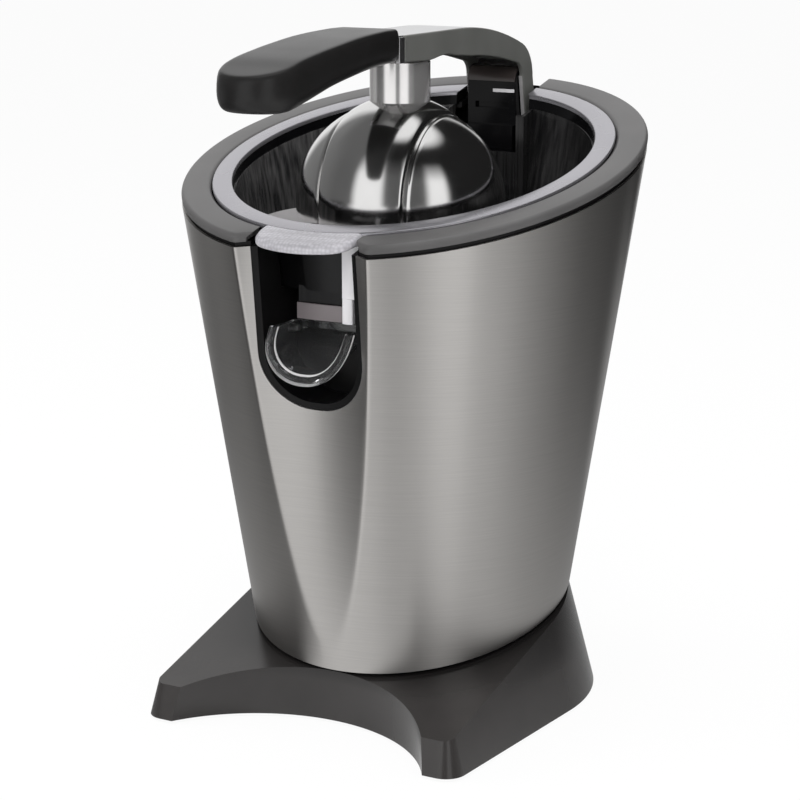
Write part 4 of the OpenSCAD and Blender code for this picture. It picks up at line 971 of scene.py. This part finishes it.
def tower_cap():
    """Curved plate over the rounded top of the tower, its brown a painted reflection of the arm above."""
    inner, outer = [arc((HINGE_Y, HINGE_Z), r, CAP_START, CAP_END, 24) for r in (CAP_IN, CAP_OUT)]
    return Form().skin([[(-CAP_HALF, *a), (CAP_HALF, *a), (CAP_HALF, *b), (-CAP_HALF, *b)]
                        for a, b in zip(inner, outer)])


# Painted reflection: the tower's top in brown.
piece("tower_cap", tower_cap(), "black_gloss", "housing", crisp=40, finish="tower_top_reflection")


# Strainer's funnel and return spring

FLANGE_PROFILE = [(52.8, 216.05), (54.4, 216.05), (58, 218.6), (66, 224.6), (66.6, 225.6), (65.9, 225.9), (57.4, 219.6),
                  (53.4, 216.9)]


def strainer_flange():
    """Bright funnel that stands on the strainer's edge."""
    rows = [[(r * math.sin(t), -PRESS_Y - r * math.cos(t), z) for r, z in FLANGE_PROFILE] for t in circle(TURN_STEPS)]
    return Form().skin(rows + rows[:1], caps=False)


piece("strainer_flange", strainer_flange(), "polished_steel", "housing", crisp=40, finish="flange_grey")

COIL_WIRE, COIL_TURNS, PRESS_TRAVEL = 1, 2.5, 2.5
coil_low, coil_high = [[1000 * c for c in corner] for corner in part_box("return_spring")]


def coil_form():
    """Return spring wound from round wire between the gear and the collar on the shaft."""
    middle = [(a + b) / 2 for a, b in zip(coil_low, coil_high)]
    r, half = (coil_high[0] - coil_low[0] - COIL_WIRE) / 2, COIL_WIRE / 2
    rows = []
    for share in spread(0, 1, 81):
        turn, z = 2 * math.pi * COIL_TURNS * share, mix(coil_low[2] + half, coil_high[2] - half, share)
        ring = [(r + half * math.cos(b), z + half * math.sin(b)) for b in circle(13)]
        rows.append([(middle[0] + q * math.cos(turn), middle[1] - AXIS_Y + q * math.sin(turn), h) for q, h in ring])
    return Form().skin(rows)


coil = piece("spring_coil", coil_form(), "plain_steel", "gear", ("return_spring",), crisp=60)
spot(0, -PRESS_Y, coil_low[2])
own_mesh(coil)


# Finish of the solids that stay as they are

STAYING = {
    "black_plastic": ("base_cover", "neck_collar", "recess_liner", "inner_tub", "press_cup",
                      "cord_gland", "gearbox_case", "gearbox_cover", "start_switch", "cooling_fan"),
    "smoked_bowl": ("juice_bowl",),
    "black_gloss": ("hinge_tower",),
    "rubber": ("foot_pads", "shaft_seal"),
    "plain_steel": ("base_screws", "spout_pins", "tower_screws", "hinge_pin", "handle_tang", "handle_screws",
                    "dome_nut", "drive_shaft", "idler_axle", "gearbox_screws"),
    "polished_steel": ("strainer", "reamer_cone"),
    "gear_plastic": ("output_gear", "idler_gear", "motor_pinion", "switch_plunger", "terminal_block"),
    "bronze": ("shaft_bush",),
    "motor_iron": ("motor_can", "motor_magnets", "motor_rotor"),
}
for slot_name, names in STAYING.items():
    for node_name in names:
        mesh = nodes[node_name].data
        mesh.materials.clear()
        mesh.materials.append(FINISHES[slot_name])


# Studio

FLOOR_HALF, FLOOR_WHITE = 6, 0.94
LAMPS_AIM = Vector((0, 0, 0.15))


def around(x, y):
    """Turn about the upright axis from the front, as a share: 0.5 in front, 0.75 on the +X side."""
    return x.math("ARCTAN2", 0 - y) * (0.5 / math.pi) + 0.5


def turns(*stops):
    """Stops of a ramp given as degrees from the front and brightness."""
    return [(degrees / 360 + 0.5, value) for degrees, value in stops]


# Brightness of the floor, near the object, further out and far off, and of the room, as polished metal mirrors them
FLOOR_NEAR = turns((-180, 0.4), (-100, 0.38), (-73, 0.31), (-44, 0.3), (-32, 0.33), (-27, 0.42), (-23, 0.62),
                   (-19, 0.82), (-14, 0.8), (7, 0.7), (24, 0.66), (40, 0.68), (53, 0.69), (66, 0.66), (76, 0.62),
                   (86, 0.57), (97, 0.51), (112, 0.47), (140, 0.4), (180, 0.4))
FLOOR_MIDDLE = turns((-180, 0.5), (-150, 0.42), (-125, 0.16), (-71, 0.1), (-60, 0.03), (-50, 0.03), (-43, 0.22),
                     (-36, 0.38), (-30, 0.72), (-24, 1), (-17, 0.98), (-10, 0.78), (8, 0.72), (24, 0.72), (32, 0.74),
                     (39, 0.84), (46, 0.97), (53, 1), (61, 1), (68, 1), (76, 0.9), (84, 0.72), (93, 0.54), (103, 0.38),
                     (113, 0.27), (125, 0.17), (162, 0.12), (176, 0.45), (180, 0.5))
FLOOR_FAR = turns((-180, 0.04), (-177, 0.04), (-169, 0.8), (-140, 0.8), (-120, 0.25), (-96, 0.2), (-90, 0.3),
                  (-74, 0.3), (-66, 0.04), (-48, 0.04), (-38, 0.12), (-27, 1), (10, 1), (16, 0.16), (25, 0.2), (31, 1),
                  (56, 1), (64, 0.2), (80, 0.1), (86, 0.015), (180, 0.015))
ROOM_SHEEN = turns((-180, 0.012), (-177, 0.012), (-169, 0.9), (-128, 0.9), (-114, 0.22), (-60, 0.12), (-35, 0.12),
                   (-26, 1), (4, 1), (11, 0.12), (34, 0.1), (41, 1), (58, 1), (65, 0.012), (180, 0.012))


def floor_look():
    """Pale floor: white to the eye with its shadow kept, and lit by the softboxes in what reflects it."""
    material = bpy.data.materials.new("pale_floor")
    material.use_nodes = True
    sheet = Sheet(material.node_tree)
    seen = sheet.node("ShaderNodeLightPath", out="Is Camera Ray")
    mirrored = sheet.node("ShaderNodeLightPath", out="Is Glossy Ray")
    x, y = sheet.split(sheet.node("ShaderNodeTexCoord", out="Object"), 2)
    turn, out = around(x, y), off_axis(x, y)
    pale = sheet.node("ShaderNodeBsdfDiffuse", {}, {"Color": (0.86, 0.86, 0.86, 1)})
    white = sheet.node("ShaderNodeEmission", {}, {"Color": (1, 1, 1, 1), "Strength": 1.0})
    near, middle, far = [sheet.ramp(turn, *stops) for stops in (FLOOR_NEAR, FLOOR_MIDDLE, FLOOR_FAR)]
    close = sheet.blend(near, middle, sheet.ramp(out, (0.2, 0), (0.5, 1)))
    whole = sheet.blend(close, far, sheet.ramp(out, (0.85, 0), (1, 1)))
    sheen = sheet.node("ShaderNodeEmission", {}, {"Color": whole})
    plain = sheet.node("ShaderNodeMixShader", {}, {0: seen * FLOOR_WHITE, 1: pale, 2: white})
    both = sheet.node("ShaderNodeMixShader", {}, {0: mirrored, 1: plain, 2: sheen})
    sheet.node("ShaderNodeOutputMaterial", {}, {"Surface": both})
    return material


floor_mesh = bpy.data.meshes.new("floor")
floor_mesh.from_pydata([(x * FLOOR_HALF, y * FLOOR_HALF, 0) for x, y in ((-1, -1), (1, -1), (1, 1), (-1, 1))], [],
                       [(0, 1, 2, 3)])
floor_mesh.materials.append(floor_look())
floor = bpy.data.objects.new("floor", floor_mesh)
floor.location = spot(0, 0, 0)
bpy.context.scene.collection.objects.link(floor)


def lamp(name, place, size, power):
    """A soft lamp that shines at the object, and that nothing mirrors."""
    data = bpy.data.lights.new(name, "AREA")
    data.shape, data.size, data.energy = "SQUARE", size, power
    made = bpy.data.objects.new(name, data)
    made.location = place
    made.rotation_euler = (LAMPS_AIM - Vector(place)).to_track_quat("-Z", "Y").to_euler()
    made.visible_glossy = False
    bpy.context.scene.collection.objects.link(made)


lamp("overhead_softbox", (0.1, -0.2, 1.8), 1.4, 22)
lamp("front_softbox", (0.9, -1.5, 1.2), 1.0, 14)
lamp("left_softbox", (-1.5, -0.7, 1.0), 1.0, 10)

world = bpy.data.worlds.new("studio")
bpy.context.scene.world = world
world.use_nodes = True
sky = Sheet(world.node_tree)
way_x, way_y, way_z = sky.split(sky.node("ShaderNodeTexCoord", out="Generated"))
boxes = sky.ramp(around(way_x, way_y), *ROOM_SHEEN)
# Above the softboxes the room is dim, darker on the +X side, with one pale panel straight overhead
dim = sky.ramp(way_x * 0.5 + 0.5, (0.35, 0.13), (0.6, 0.012))
overhead = sky.blend(dim, (0.95, 0.95, 0.95, 1), sky.ramp(way_z, (0.9, 0), (0.96, 1)))
behind = sky.ramp(way_y, (0, 0), (0.5, 0.33))
upward = (way_z - behind - 0.45) * 3.5
mirrored = sky.node("ShaderNodeLightPath", out="Is Glossy Ray")
room = sky.blend(boxes, overhead, upward)
seen = sky.node("ShaderNodeLightPath", out="Is Camera Ray")
through_glass = sky.node("ShaderNodeLightPath", out="Is Transmission Ray")
white = seen.math("MAXIMUM", through_glass)
plain = sky.blend((0.5, 0.5, 0.5, 1), (1, 1, 1, 1), white)
light = sky.node("ShaderNodeBackground", {}, {"Color": sky.blend(plain, room, mirrored), "Strength": 1.0})
sky.node("ShaderNodeOutputWorld", {}, {"Surface": light})
